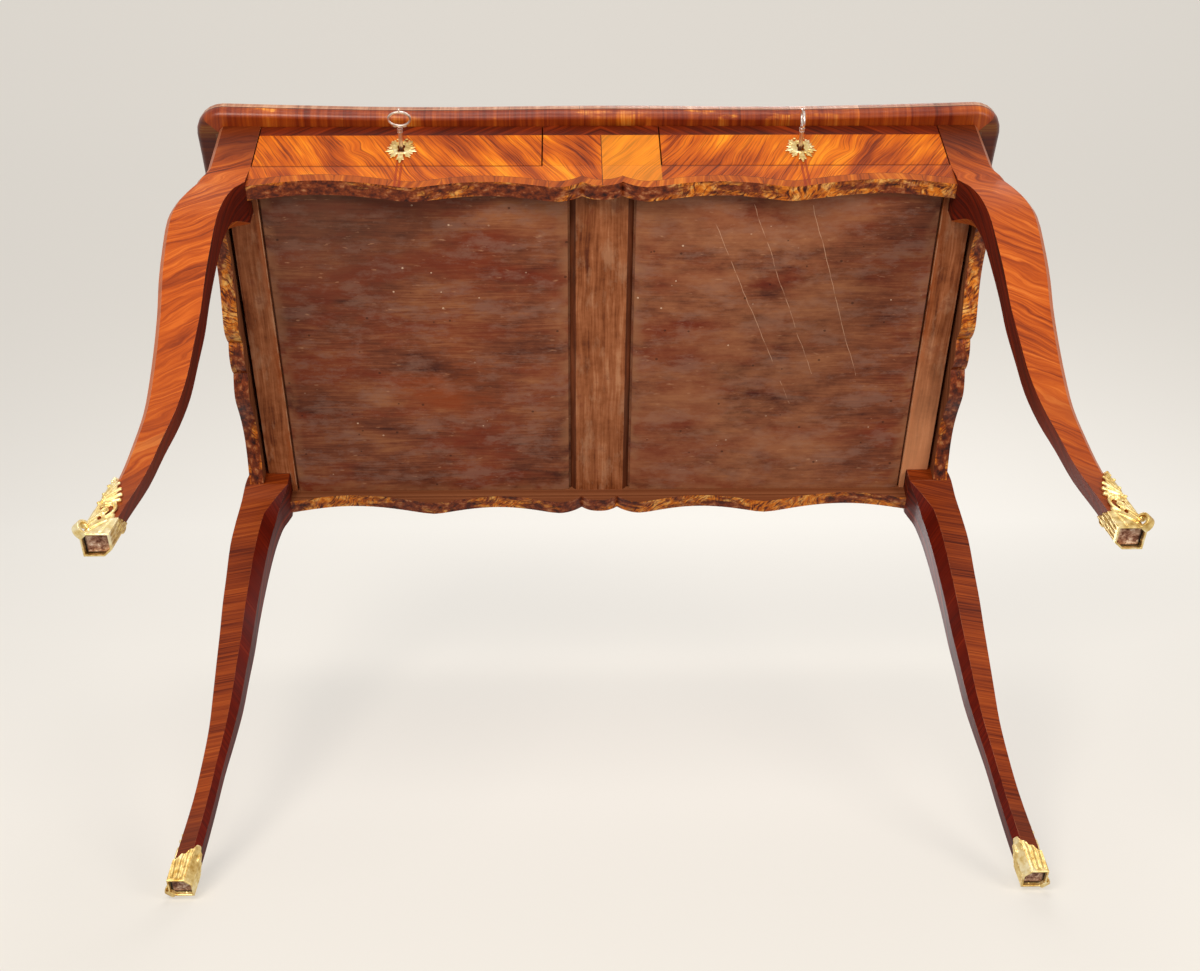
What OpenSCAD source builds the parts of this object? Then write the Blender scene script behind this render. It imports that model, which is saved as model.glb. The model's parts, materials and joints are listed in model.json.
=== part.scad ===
// Small two-drawer writing table on cabriole legs with gilt bronze feet.
// The origin is on the floor, under the centre of the whole piece with its keys in place.
// +X is to the right of someone sitting at the table, -Y is the drawer side, +Z is up.

/* [Overall] */
// Width of the top
table_w = 980; // [900:5:1100]
// Depth of the top
table_d = 540; // [500:5:620]
// Height of the writing surface
table_h = 768; // [720:2:800]

/* [Top] */
// Thickness of the top
top_t = 23; // [20:1:30]
// Plan radius of the four corners of the top
top_corner_r = 34; // [20:1:50]
// How far the long edges draw in between the corners
top_bow = 6; // [2:1:10]
// How far the short edges draw in between the corners
top_side_bow = 3; // [1:1:6]
// Height of the flat strip that runs round the upper edge
top_strip_h = 6; // [4:0.5:9]
// Set-back of that strip from the rounded band below it
top_strip_step = 0.8; // [0.5:0.1:1.5]
// How far the rounded band turns in at the underside
top_edge_round = 8; // [4:0.5:10]
// Width of the veneered border round the writing leather
leather_border = 68; // [50:1:90]
// Thickness of the writing leather
leather_t = 1.2; // [0.8:0.1:2]

/* [Carcass] */
// Overhang of the top past the drawer fronts and the rear apron
front_overhang = 20; // [18:1:30]
// Overhang of the top past the side aprons
side_overhang = 30; // [26:1:40]
// Width of the square post at the head of each leg
post_w = 50; // [44:1:56]
// Thickness of the front and rear aprons and of the stile between the drawers
apron_t = 19; // [17:0.5:24]
// Thickness of the side aprons
side_apron_t = 18; // [15:0.5:22]
// Length of the apron tenons
tenon_l = 22; // [14:1:24]
// Thickness of the apron tenons
tenon_t = 8; // [6:0.5:10]
// Slack round each tenon in its mortise
tenon_slack = 0.1; // [0.05:0.05:0.2]

/* [Apron outline] */
// Drop of the arches of the lower edge below the dust panels
arch_drop = 9; // [6:0.5:12]
// Extra drop of the inner arches on the front and rear aprons
inner_arch_extra = 4; // [2:0.5:6]
// Drop of the deepest points
trough_drop = 26; // [22:0.5:32]
// Drop where the aprons run into the legs
spring_drop = 21.5; // [18:0.5:28]
// Drop of the two sharp cusps at the middle
cusp_drop = 13.5; // [11:0.5:17]
// Drop of the small lobe between the cusps
lobe_drop = 22; // [19:0.5:26]
// Distance of each cusp from the middle
cusp_half = 23.5; // [18:0.5:28]
// Distance of the first deep point from the middle
motif_half = 54; // [46:1:62]

/* [Legs] */
// Width of the narrow chamfer on the outer arris
outer_chamfer = 4.5; // [3:0.5:6]
// Share of the leg's width that the inner chamfer takes
inner_chamfer_share = 0.3; // [0.2:0.02:0.36]
// Outward swell at the knee, past the apron faces
knee_out = 20; // [12:1:20]
// Inward sweep above the ankle
ankle_in = 6; // [2:1:10]
// Outward sweep of the wooden foot
foot_out = 10.5; // [6:0.5:12]
// Width of the leg at the knee
knee_w = 54.5; // [50:0.5:58]
// Width of the leg at the ankle
ankle_w = 25; // [22:0.5:30]
// Width of the wooden foot inside its bronze shoe
foot_w = 23; // [20:0.5:28]
// How much less the rear legs swell outwards at the knee
rear_knee_cut = 6; // [0:0.5:8]
// How much slimmer the rear legs are at mid height
rear_slim = 6.5; // [0:0.5:8]

/* [Bronze feet] */
// Thickness of the bronze wall
sabot_wall = 1.9; // [1.2:0.1:2.5]
// Slack between the bronze and the wood
sabot_slack = 0.05; // [0.02:0.01:0.1]
// Height of the square socket at the outer corner
socket_h = 30; // [24:1:38]
// Height of the socket's leaf tip on the inner corner
socket_tip_h = 45; // [40:1:56]
// Height of the leaf that climbs the outer arris
chute_h = 92; // [80:1:110]
// How far the wood stands back inside the open bottom
foot_recess = 4; // [2:0.5:8]
// Outer radius of the scroll at the toe
scroll_r = 8; // [6:0.5:9]
// Width of the scroll at the toe
scroll_w = 9; // [7:0.5:10]
// Radius of the pierced holes in the leaf
pierced_r = 2.4; // [1.5:0.1:3]
// Radius of the pins that hold the bronze
sabot_pin_r = 1.2; // [0.8:0.1:1.5]
// Length of the pins that hold the bronze
sabot_pin_l = 9; // [6:1:10]

/* [Bottom frame] */
// Thickness of the frame of rails below the drawers
frame_t = 23; // [20:1:28]
// Width of the flat face of the muntin between the two dust panels
muntin_face = 62; // [52:1:70]
// Width of the chamfer on each side of the muntin
muntin_chamfer = 7; // [5:0.5:8]
// Thickness of the dust panels
panel_t = 12; // [11:0.5:14]
// Gap seen between the dust panels and the frame
panel_gap = 2.4; // [1.5:0.1:3]
// Width of the worn bevel along the ends of the dust panels
panel_bevel_w = 10; // [6:1:14]
// Depth of that bevel
panel_bevel_h = 2; // [1:0.5:3]
// Thickness of the tongues of the dust panels
tongue_t = 4.8; // [3.5:0.1:5]
// Length of the tongues of the dust panels
tongue_l = 6.5; // [5:0.5:8]
// Width of the side rails
rail_w = 35; // [30:1:38]
// Gap between the side rails and the side aprons
rail_gap = 4; // [2:0.5:6]
// Width of the inner drawer runners
runner_w = 26; // [22:1:32]
// Height of the strips that guide the drawers
guide_h = 20; // [12:1:30]

/* [Top fixing] */
// Thickness of the kickers under the top
kicker_t = 12; // [10:1:14]
// Width of the kickers
kicker_w = 24; // [20:1:28]
// Radius of the screw shanks
screw_r = 2; // [1.5:0.25:2.5]
// Radius of the screw heads
screw_head_r = 4; // [3.2:0.1:5]
// Length of the screws
screw_l = 24; // [18:1:28]
// Side of the glue blocks
block_s = 13; // [9:1:14]
// Length of the glue blocks
block_l = 50; // [30:2:70]

/* [Drawers] */
// Height of the drawer fronts
drawer_h = 92; // [84:1:100]
// Width of the stile between the drawers
stile_w = 139; // [120:1:160]
// Gap at each end of a drawer front
end_gap = 1.5; // [0.8:0.1:2]
// Gap above a drawer front
top_gap = 1.5; // [1:0.1:2]
// Gap below a drawer front
bottom_gap = 1; // [0.6:0.1:1.5]
// Gap between the drawer sides and what they run on
run_gap = 0.3; // [0.2:0.1:0.5]
// Gap between the drawer sides and their guides
guide_gap = 0.6; // [0.4:0.1:1]
// Space between the back of a closed drawer and the rear apron
drawer_back_gap = 15.5; // [4:0.5:60]
// Thickness of a drawer front
front_t = 19; // [17:0.5:22]
// Thickness of the drawer sides and back
side_t = 9; // [8:0.5:12]
// How far the drawer sides stop short of the top of the front
side_drop = 12.5; // [12:0.5:18]
// Thickness of the drawer bottom
bottom_t = 6; // [5:0.5:8]
// Depth of the grooves that hold the drawer bottom
groove_d = 4; // [3:0.5:5]
// Height of the drawer bottom above the lower edge of the sides
bottom_rise = 5; // [4:0.5:8]
// Length of the dovetails
tail_l = 11; // [8:0.5:13]
// Number of dovetails at each corner
tail_count = 4; // [3:1:5]
// Width of the drawer stops
stop_w = 22; // [14:1:30]

/* [Locks and keys] */
// How much nearer the middle of the table each keyhole lies than the middle of its drawer
key_offset = 2.75; // [0:0.25:12]
// Height of the key's axis above the lower edge of a drawer front
key_rise = 38.5; // [36:0.5:42]
// Half width of the lock case
lock_half = 24; // [21:0.5:26]
// Depth of the lock case, front to back
lock_d = 9; // [8.5:0.1:10]
// Distance of the lower end of the lock case below the key's axis
lock_drop = 18; // [15:0.5:20]
// Thickness of the lock's plates
lock_wall = 1.5; // [1:0.1:1.5]
// Half width of the bolt
bolt_half = 10; // [7:0.5:12]
// Thickness of the bolt
bolt_t = 3; // [2.5:0.1:3]
// Travel of the bolt
bolt_throw = 8; // [5:0.5:9]
// Slack round the bolt
bolt_slack = 0.25; // [0.15:0.05:0.3]
// Radius of the key's shank
shank_r = 2.5; // [2:0.1:3]
// Radius of the fixed pin that the pipe key turns on
lock_pin_r = 1; // [0.8:0.1:1.2]
// Running clearance between that pin and the key's pipe
pipe_clear = 0.05; // [0.03:0.01:0.08]
// Reach of the key's bit from its axis
bit_reach = 8.5; // [7:0.1:9]
// Length of the key that stands out of the drawer front, up to the bow
shank_out = 29; // [22:0.5:34]
// Length of the oval bow across the shank
bow_w = 29; // [24:0.5:34]
// Length of the oval bow along the shank
bow_l = 21; // [17:0.5:23]
// Radius of the bow's wire
bow_wire_r = 1.5; // [1.2:0.1:1.9]
// Length of the small knob at the end of the bow
knob_l = 4.5; // [3:0.5:6]
// Half width of the keyhole plate
plate_half_w = 18.5; // [15:0.5:22]
// Height of the keyhole plate below the key's axis
plate_below = 37; // [30:0.5:38]
// Height of the two small curls above the key's axis
curl_rise = 29; // [24:0.5:32]
// Thickness of the keyhole plate
plate_t = 1.6; // [1.2:0.1:2.2]
// Height of the relief on the keyhole plate
relief_t = 1.6; // [0.8:0.1:2.4]

/* [Hidden] */
$fn = 48;
eps = 0.02;

// Carcass box, measured from its own centre
half_w = table_w / 2 - side_overhang;
half_d = table_d / 2 - front_overhang;
post_x = half_w - post_w;
post_y = half_d - post_w;
apron_in_y = half_d - apron_t;
side_in_x = half_w - side_apron_t;

// Levels, from the top down
top_under = table_h - top_t;
drawer_top = top_under - top_gap;
drawer_bottom = drawer_top - drawer_h;
frame_top = drawer_bottom - bottom_gap;
frame_under = frame_top - frame_t;
spring_z = frame_under - spring_drop;
panel_top = frame_under + panel_t;
key_z = drawer_bottom + key_rise;

// The keys stand out further than the top, so the carcass sits a little behind the origin
key_out = shank_out + bow_l + knob_l;
centre_y = (key_out - front_overhang) / 2;

// Drawer box, for the drawer on the +X side
drawer_x0 = stile_w / 2 + end_gap;
drawer_x1 = post_x - end_gap;
key_x = (drawer_x0 + drawer_x1) / 2 - key_offset;
side_bottom = frame_top + run_gap;
side_top = drawer_top - side_drop;
box_front_y = -half_d + front_t;
box_rear_y = apron_in_y - drawer_back_gap;
bottom_z = side_bottom + bottom_rise;

// Frame of rails
muntin_half = muntin_face / 2 + muntin_chamfer;
panel_x0 = muntin_half + panel_gap;
rail_x1 = side_in_x - rail_gap;
rail_x0 = rail_x1 - rail_w;
panel_x1 = rail_x0 - panel_gap;
tongue_slack = 0.1;
tongue_top = panel_top;
tongue_low = panel_top - tongue_t;
end_slack = 0.2;

// Lock
case_y0 = -half_d + front_t - lock_d;
flange_t = 1.5;
flange_half = lock_half + 6;
case_top = drawer_top - 1;
case_low = key_z - lock_drop;
bolt_y1 = box_front_y - 1.2;
bolt_y0 = bolt_y1 - bolt_t;
bit_y1 = bolt_y0 - 0.4;
bit_y0 = case_y0 + lock_wall + 0.3;
bolt_low = key_z + 3;
bolt_top = case_top - 0.5;
shank_hole_r = shank_r + 0.4;
bit_t = 2.2;
bow_y = -half_d - shank_out - bow_l / 2;

// Leg curve: share of the leg's height, swell of the outer arris past the apron face,
// and depth of the inner arris behind the apron face
front_curve = [
    [0.00, foot_out, foot_w - foot_out],
    [0.08, foot_out - 6.5, foot_w - foot_out + 6.5],
    [0.165, 4 - ankle_in, ankle_w + ankle_in - 4],
    [0.25, 1.5 - ankle_in, ankle_w + ankle_in + 1],
    [0.33, 0.5 - ankle_in, ankle_w + ankle_in + 6.5],
    [0.41, 3 - ankle_in, ankle_w + ankle_in + 9.5],
    [0.495, 0.05 * knee_out, 0.735 * knee_w],
    [0.58, 0.3 * knee_out, 0.725 * knee_w],
    [0.66, 0.6 * knee_out, 0.68 * knee_w],
    [0.74, 0.82 * knee_out, knee_w - knee_out + 1],
    [0.84, knee_out, knee_w - knee_out],
    [0.905, 0.85 * knee_out, knee_w - knee_out + 1.5],
    [0.945, 0.65 * knee_out, knee_w - knee_out + 4.5],
    [0.965, 0.53 * knee_out, post_w - 8.5],
    [0.985, 0.4 * knee_out, post_w - 3.5],
    [1.00, 0.3 * knee_out, post_w]
];

// The rear legs follow the same curve, but slimmer
function rear_knee(t) = rear_knee_cut * sin(180 * pow(max(0, (t - 0.45) / 0.55), 1.6));
function rear_waist(t) = rear_slim * sin(180 * pow(max(0, (t - 0.08) / 0.92), 0.8));
rear_curve = [for (p = front_curve) [p[0], p[1] - rear_knee(p[0]), p[2] - rear_waist(p[0])]];
ring_steps = 3;
post_steps = 4;
arris_ease = 0.8;

// Places the carcass behind the origin
module in_frame() {
    translate([0, centre_y, 0]) children();
}

// Repeats a piece made for +X at -X too
module both_sides() {
    children();
    mirror([1, 0, 0]) children();
}

// Smooth step from 0 to 1 with a rounded start and a flat end
function rise(t) = (sqrt(pow(sin(90 * t), 2) + 0.0225) - 0.15) / (sqrt(1.0225) - 0.15);

// Stacked rings become a closed solid
function ring_faces(rings, count) = concat(
    [[for (j = [0:count - 1]) j]],
    [for (k = [0:rings - 2]) for (j = [0:count - 1])
        let (n = (j + 1) % count)
        [k * count + j, (k + 1) * count + j, (k + 1) * count + n, k * count + n]],
    [[for (j = [count - 1:-1:0]) (rings - 1) * count + j]]
);

// Top

top_side_steps = 16;
top_corner_steps = 6;

function draw_in(share) = 1 - pow(share, 4);

function long_edge_y(x, run, bow) =
    let (share = min(1, abs(x) / run))
    -bow * draw_in(share) * (1 - (1 + cos(360 * share)) / 6);

function top_outline(inset) =
    let (
        a = table_w / 2 - inset,
        b = table_d / 2 - inset,
        r = top_corner_r - inset,
        run_x = a - r,
        run_y = b - r,
        long = [for (i = [0:top_side_steps]) run_x * (2 * i / top_side_steps - 1)],
        short = [for (i = [0:top_side_steps]) run_y * (2 * i / top_side_steps - 1)],
        arc = [for (i = [1:top_corner_steps - 1]) 90 * i / top_corner_steps]
    )
    concat(
        [for (x = long) [x, -b - long_edge_y(x, run_x, top_bow)]],
        [for (q = arc) [run_x + r * sin(q), -run_y - r * cos(q)]],
        [for (y = short) [a - top_side_bow * draw_in(abs(y) / run_y), y]],
        [for (q = arc) [run_x + r * cos(q), run_y + r * sin(q)]],
        [for (x = long) [-x, b + long_edge_y(x, run_x, top_bow)]],
        [for (q = arc) [-run_x - r * sin(q), run_y + r * cos(q)]],
        [for (y = short) [-a + top_side_bow * draw_in(abs(y) / run_y), -y]],
        [for (q = arc) [-run_x - r * cos(q), -run_y - r * sin(q)]]
    );

band_h = top_t - top_strip_h;
band_curve_h = 0.7 * band_h;
groove_h = 0.8;
top_arris = 1.2;
top_levels = concat(
    [for (q = [0:15:90]) [top_under + band_curve_h * (1 - cos(q)), top_edge_round * (1 - sin(q))]],
    [[top_under + band_h - groove_h, 0],
     [top_under + band_h, top_strip_step],
     [table_h - top_arris, top_strip_step],
     [table_h, top_strip_step + top_arris]]
);

module top_solid() {
    rings = [for (level = top_levels) [for (p = top_outline(level[1])) [p[0], p[1], level[0]]]];
    polyhedron(points = [for (ring = rings) each ring],
               faces = ring_faces(len(top_levels), len(rings[0])), convexity = 4);
}

leather_w = table_w - 2 * leather_border;
leather_d = table_d - 2 * leather_border;
stub_l = 6;

module leather_block(extra) {
    translate([-leather_w / 2, -leather_d / 2, table_h - leather_t])
        cube([leather_w, leather_d, leather_t + extra]);
}

module top_board() {
    color("#6e2c12") in_frame() difference() {
        top_solid();
        leather_block(eps);
        bolt_mortises();
        stile_top_stub(tenon_slack);
        screw_row(screw_r + 0.05, top_under - eps, screw_l - kicker_t + 1);
    }
}

module writing_leather() {
    color("#5a2f1c") in_frame() leather_block(0);
}

// The bolts shoot up into these when the keys are turned
module bolt_mortises() {
    slack = 2;
    both_sides() translate([key_x - bolt_half - slack, bolt_y0 - slack, top_under - eps])
        cube([2 * (bolt_half + slack), bolt_t + 2 * slack, bolt_throw]);
}

// Aprons

outline_steps = 8;

// Lower edge of an apron at a distance from the middle, as a drop below the dust panels
function edge_drop(x, end, long) =
    let (d = abs(x))
    d < cusp_half
        ? lobe_drop + (cusp_drop - lobe_drop) * pow(d / cusp_half, 2.4)
        : d < motif_half
            ? trough_drop + (cusp_drop - trough_drop)
                * pow((motif_half - d) / (motif_half - cusp_half), 2)
            : long ? long_drop(d, end) : short_drop(d, end);

function long_drop(d, end) =
    let (
        first = 0.33 * end,
        second = 0.537 * end,
        last = 0.805 * end,
        low = arch_drop + inner_arch_extra
    )
    d < first ? trough_drop + (low - trough_drop) * rise((d - motif_half) / (first - motif_half))
    : d < second ? trough_drop + (low - trough_drop) * rise((second - d) / (second - first))
    : d < last ? trough_drop + (arch_drop - trough_drop) * rise((d - second) / (last - second))
    : arch_drop + (spring_drop - arch_drop) * (1 - cos(90 * (d - last) / (end - last)));

function short_drop(d, end) =
    let (last = 0.66 * end)
    d < last ? trough_drop + (arch_drop - trough_drop) * rise((d - motif_half) / (last - motif_half))
    : arch_drop + (spring_drop - arch_drop) * (1 - cos(90 * (d - last) / (end - last)));

// Stations along half an apron, closer together where the outline bends
function half_stations(end, long) =
    let (marks = long
        ? [0, cusp_half, motif_half, 0.33 * end, 0.537 * end, 0.805 * end, end]
        : [0, cusp_half, motif_half, 0.66 * end, end])
    concat([for (m = [0:len(marks) - 2]) for (i = [0:outline_steps - 1])
        marks[m] + (marks[m + 1] - marks[m]) * i / outline_steps], [end]);

module apron_outline(end, upper, long) {
    half = half_stations(end, long);
    lower = concat(
        [for (i = [len(half) - 1:-1:1]) [-half[i], frame_under - edge_drop(half[i], end, long)]],
        [for (x = half) [x, frame_under - edge_drop(x, end, long)]]
    );
    polygon(concat(lower, [[end, upper], [-end, upper]]));
}

// Tenon at both ends of an apron that lies along X with its outer face at y = 0
module apron_tenons(end, thick, z0, z1, slack) {
    both_sides() translate([end - eps, (thick - tenon_t) / 2 - slack, z0 - slack])
        cube([tenon_l + slack + eps, tenon_t + 2 * slack, z1 - z0 + 2 * slack]);
}

tenon_shoulder = 8;
tenon_z0 = spring_z + tenon_shoulder;

module front_apron_tenons(slack) {
    translate([0, -half_d, 0])
        apron_tenons(post_x, apron_t, tenon_z0, frame_top - tenon_shoulder, slack);
}

module rear_apron_tenons(slack) {
    translate([0, half_d, 0]) mirror([0, 1, 0])
        apron_tenons(post_x, apron_t, tenon_z0, top_under - tenon_shoulder, slack);
}

module right_apron_tenons(slack) {
    translate([half_w, 0, 0]) rotate([0, 0, 90])
        apron_tenons(post_y, side_apron_t, tenon_z0, top_under - tenon_shoulder, slack);
}

// Stub tenons of the stile and the muntin
stile_tenon_half = stile_w / 2 - 20;
stile_tenon_l = 18;
stile_tenon_t = 7;
stub_out = 4.5;
muntin_stub_half = 20;
muntin_stub_l = 5;
muntin_stub_h = 12;

module stile_low_stub(slack) {
    translate([-stile_tenon_half - slack, -half_d + stub_out - slack, frame_top - stile_tenon_l - slack])
        cube([2 * (stile_tenon_half + slack), stile_tenon_t + 2 * slack, stile_tenon_l + slack + eps]);
}

module stile_top_stub(slack) {
    translate([-stile_tenon_half - slack, -half_d + stub_out - slack, top_under - eps])
        cube([2 * (stile_tenon_half + slack), stile_tenon_t + 2 * slack, stub_l + slack]);
}

module muntin_stubs(slack) {
    for (side = [-1, 1])
        translate([0, side * (apron_in_y + (muntin_stub_l + slack - eps) / 2),
                   frame_under + muntin_chamfer / 2 + muntin_stub_h / 2])
            cube([2 * (muntin_stub_half + slack), muntin_stub_l + slack + eps,
                  muntin_stub_h + 2 * slack], center = true);
}

module front_apron() {
    color("#a9531d") in_frame() difference() {
        union() {
            translate([0, -half_d + apron_t, 0]) rotate([90, 0, 0])
                linear_extrude(apron_t) apron_outline(post_x, frame_top, true);
            front_apron_tenons(0);
        }
        stile_low_stub(tenon_slack);
        muntin_stubs(tenon_slack);
    }
}

module centre_stile() {
    color("#c0641f") in_frame() union() {
        translate([-stile_w / 2, -half_d, frame_top]) cube([stile_w, apron_t, top_under - frame_top]);
        stile_low_stub(0);
        stile_top_stub(0);
    }
}

module rear_apron() {
    color("#9a4a1c") in_frame() difference() {
        union() {
            translate([0, half_d, 0]) rotate([90, 0, 0])
                linear_extrude(apron_t) apron_outline(post_x, top_under, true);
            rear_apron_tenons(0);
        }
        muntin_stubs(tenon_slack);
    }
}

module side_apron() {
    union() {
        translate([half_w, 0, 0]) rotate([90, 0, -90])
            linear_extrude(side_apron_t) apron_outline(post_y, top_under, false);
        right_apron_tenons(0);
    }
}

module right_apron() {
    color("#96471b") in_frame() side_apron();
}

module left_apron() {
    color("#96471b") in_frame() mirror([1, 0, 0]) side_apron();
}

// Legs

function slope(curve, i, c) =
    let (
        before = max(0, i - 1),
        after = min(len(curve) - 1, i + 1)
    )
    (curve[after][c] - curve[before][c]) / (curve[after][0] - curve[before][0]);

// Smooth value of column c of a leg curve in the span after station i
function leg_value(curve, i, s, c) =
    let (
        h = curve[i + 1][0] - curve[i][0],
        s2 = s * s,
        s3 = s2 * s
    )
    (2 * s3 - 3 * s2 + 1) * curve[i][c] + (s3 - 2 * s2 + s) * h * slope(curve, i, c)
    + (3 * s2 - 2 * s3) * curve[i + 1][c] + (s3 - s2) * h * slope(curve, i + 1, c);

last_span = len(front_curve) - 2;

// Each ring of a leg: height, swell of the outer arris, depth of the inner arris
function leg_rings(curve) = concat(
    [for (i = [0:last_span]) for (k = [0:ring_steps - 1])
        let (s = k / ring_steps)
        [spring_z * (curve[i][0] + s * (curve[i + 1][0] - curve[i][0])),
         leg_value(curve, i, s, 1), leg_value(curve, i, s, 2)]],
    [for (k = [0:post_steps])
        let (s = k / post_steps, lift = frame_top - spring_z)
        [spring_z + s * lift, curve[last_span + 1][1] * (1 + cos(180 * s)) / 2, post_w]],
    [[top_under, 0, post_w]]
);
front_rings = leg_rings(front_curve);
rear_rings = leg_rings(rear_curve);

// Plan of the leg on the +X, -Y corner; grow thickens it all round
function leg_section(ring, grow) =
    let (
        out = ring[1] + grow,
        deep = ring[2] + grow,
        wide = out + deep,
        start = max(0, min(1, (spring_z - ring[0]) / (0.07 * spring_z))),
        cut = arris_ease + (inner_chamfer_share * wide - arris_ease) * start,
        x1 = half_w + out,
        x0 = half_w - deep,
        y1 = -half_d - out,
        y0 = -half_d + deep
    )
    [[x0, y1, ring[0]], [x1 - outer_chamfer, y1, ring[0]], [x1, y1 + outer_chamfer, ring[0]],
     [x1, y0, ring[0]], [x0 + cut, y0, ring[0]], [x0, y0 - cut, ring[0]]];

// Part of a leg's sweep between two heights, cut square at both
module leg_sweep(rings, low, high, grow) {
    between = [for (ring = rings) if (ring[0] < high - 1 && ring[0] > low + 1) ring];
    stack = concat([ring_at(rings, low)], between, [ring_at(rings, high)]);
    polyhedron(points = [for (ring = stack) each leg_section(ring, grow)],
               faces = ring_faces(len(stack), 6), convexity = 4);
}

// Ring at any height, on the straight line between the two nearest rings
function ring_at(rings, z) =
    let (
        below = max([for (i = [0:len(rings) - 2]) rings[i][0] <= z ? i : 0]),
        a = rings[below],
        b = rings[below + 1],
        s = (z - a[0]) / (b[0] - a[0])
    )
    [z, a[1] + s * (b[1] - a[1]), a[2] + s * (b[2] - a[2])];

rail_tenon_w = 14;
rail_tenon_h = 12;
rail_tenon_l = 10;

module rail_tenons(slack) {
    x0 = (max(rail_x0, post_x) + rail_x1 - rail_tenon_w) / 2;
    root = 0.5;
    for (side = [0, 1]) mirror([0, side, 0])
        translate([x0 - slack, post_y - root, frame_under + 5 - slack])
            cube([rail_tenon_w + 2 * slack, rail_tenon_l + root + slack, rail_tenon_h + 2 * slack]);
}

module front_leg() {
    difference() {
        leg_sweep(front_rings, foot_recess, top_under, 0);
        front_apron_tenons(tenon_slack);
        right_apron_tenons(tenon_slack);
        rail_tenons(tenon_slack);
        foot_pins(front_rings, sabot_pin_r + 0.05, sabot_pin_l + 0.5);
    }
}

module rear_leg() {
    difference() {
        mirror([0, 1, 0]) leg_sweep(rear_rings, foot_recess, top_under, 0);
        rear_apron_tenons(tenon_slack);
        right_apron_tenons(tenon_slack);
        rail_tenons(tenon_slack);
        mirror([0, 1, 0]) foot_pins(rear_rings, sabot_pin_r + 0.05, sabot_pin_l + 0.5);
    }
}

module front_right_leg() {
    color("#9e4318") in_frame() front_leg();
}

module front_left_leg() {
    color("#9e4318") in_frame() mirror([1, 0, 0]) front_leg();
}

module rear_right_leg() {
    color("#8f3a16") in_frame() rear_leg();
}

module rear_left_leg() {
    color("#8f3a16") in_frame() mirror([1, 0, 0]) rear_leg();
}

// Bronze feet

foot_corner = foot_out + sabot_wall;
foot_inner = foot_w - foot_out + sabot_wall;
shoe_w = foot_corner + foot_inner;
pin_z = 0.55 * socket_h;

// Two pins, through the inner side wall and the wall away from the apron face
module foot_pins(rings, r, l) {
    ring = ring_at(rings, pin_z);
    deep = ring[2] + sabot_wall;
    middle = (ring[1] - ring[2]) / 2;
    translate([half_w - deep, -half_d - middle, pin_z]) rotate([0, 90, 0]) cylinder(r = r, h = l);
    translate([half_w + middle, -half_d + deep, pin_z]) rotate([90, 0, 0]) cylinder(r = r, h = l);
}

// Half width of the leaf on the outer arris at each share of its height
leaf_lobes = 5;
leaf_steps = 30;

function leaf_half(s) =
    (0.04 + 0.68 * pow(1 - pow(s, 1.6), 0.9)) * (0.84 + 0.16 * abs(cos(180 * leaf_lobes * s)));

module leaf_outline(spread) {
    low = 0.5 * socket_h;
    side = [for (i = [0:leaf_steps])
        let (s = i / leaf_steps)
        [spread * leaf_half(s), low + s * (chute_h - low)]];
    other = [for (i = [leaf_steps:-1:0]) [-side[i][0], side[i][1]]];
    polygon(concat(side, other));
}

// Small leaves that rise over the inner corner
crown_teeth = 4;

module crown_outline(spread) {
    low = socket_h - 6;
    steps = 2 * crown_teeth;
    side = [for (i = [0:steps])
        let (s = i / steps)
        [spread * (1 - s), low + (socket_tip_h - low) * pow(s, 1.3) + (i % 2) * 3]];
    other = [for (i = [steps - 1:-1:0]) [-side[i][0], side[i][1]]];
    polygon(concat(side, other));
}

// Carries an outline along the foot's diagonal, from a start just inside the leaning leg
module on_diagonal(turn, length) {
    start = (foot_corner - foot_inner) / 2 - 5;
    translate([half_w + start, -half_d - start, 0]) rotate([90, 0, turn])
        linear_extrude(length) children();
}

// Scroll that curls out from the toe and stays inside the overhang of the top
module toe_scroll() {
    wire = 2.6;
    tip = (front_overhang - 0.6) * sqrt(2) - scroll_w / 2;
    arris = foot_corner * sqrt(2) - outer_chamfer / sqrt(2);
    translate([half_w, -half_d, scroll_r + 0.3]) rotate([0, 0, -45]) rotate([90, 0, 0])
        intersection() {
            translate([tip - scroll_r, 0, -scroll_w / 2]) difference() {
                cylinder(r = scroll_r, h = scroll_w);
                translate([0, 0, -1]) cylinder(r = scroll_r - wire, h = scroll_w + 2);
            }
            translate([arris - 1.2, -scroll_r - 1, -scroll_w])
                cube([3 * scroll_r, 3 * scroll_r, 2 * scroll_w]);
        }
}

// Holes pierced through the leaf on both outer faces
module pierced_holes() {
    across = 0.28 * shoe_w;
    z = 1.2 * socket_h;
    length = 2 * foot_w;
    translate([half_w - across / 2 - 1, -half_d, z]) rotate([90, 0, 0])
        cylinder(r = pierced_r, h = length);
    translate([half_w, -half_d + across / 2 + 1, z]) rotate([0, 90, 0])
        cylinder(r = pierced_r, h = length);
}

// Bronze shoe on the +X, -Y foot
module sabot(rings) {
    reach = 2 * shoe_w;
    diagonal = shoe_w / sqrt(2) + 2;
    difference() {
        union() {
            intersection() {
                leg_sweep(rings, 0, chute_h + 2, sabot_wall);
                union() {
                    translate([half_w - reach, -half_d - reach, -1])
                        cube([2 * reach, 2 * reach, socket_h - 3]);
                    on_diagonal(45, reach) leaf_outline(diagonal);
                    on_diagonal(225, reach) crown_outline(diagonal);
                }
            }
            toe_scroll();
        }
        leg_sweep(rings, -2, chute_h + 20, sabot_slack);
        pierced_holes();
        foot_pins(rings, sabot_pin_r + 0.05, sabot_pin_l);
    }
}

module front_right_sabot() {
    color("#d8b45a") in_frame() sabot(front_rings);
}

module front_left_sabot() {
    color("#d8b45a") in_frame() mirror([1, 0, 0]) sabot(front_rings);
}

module rear_right_sabot() {
    color("#d8b45a") in_frame() mirror([0, 1, 0]) sabot(rear_rings);
}

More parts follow.
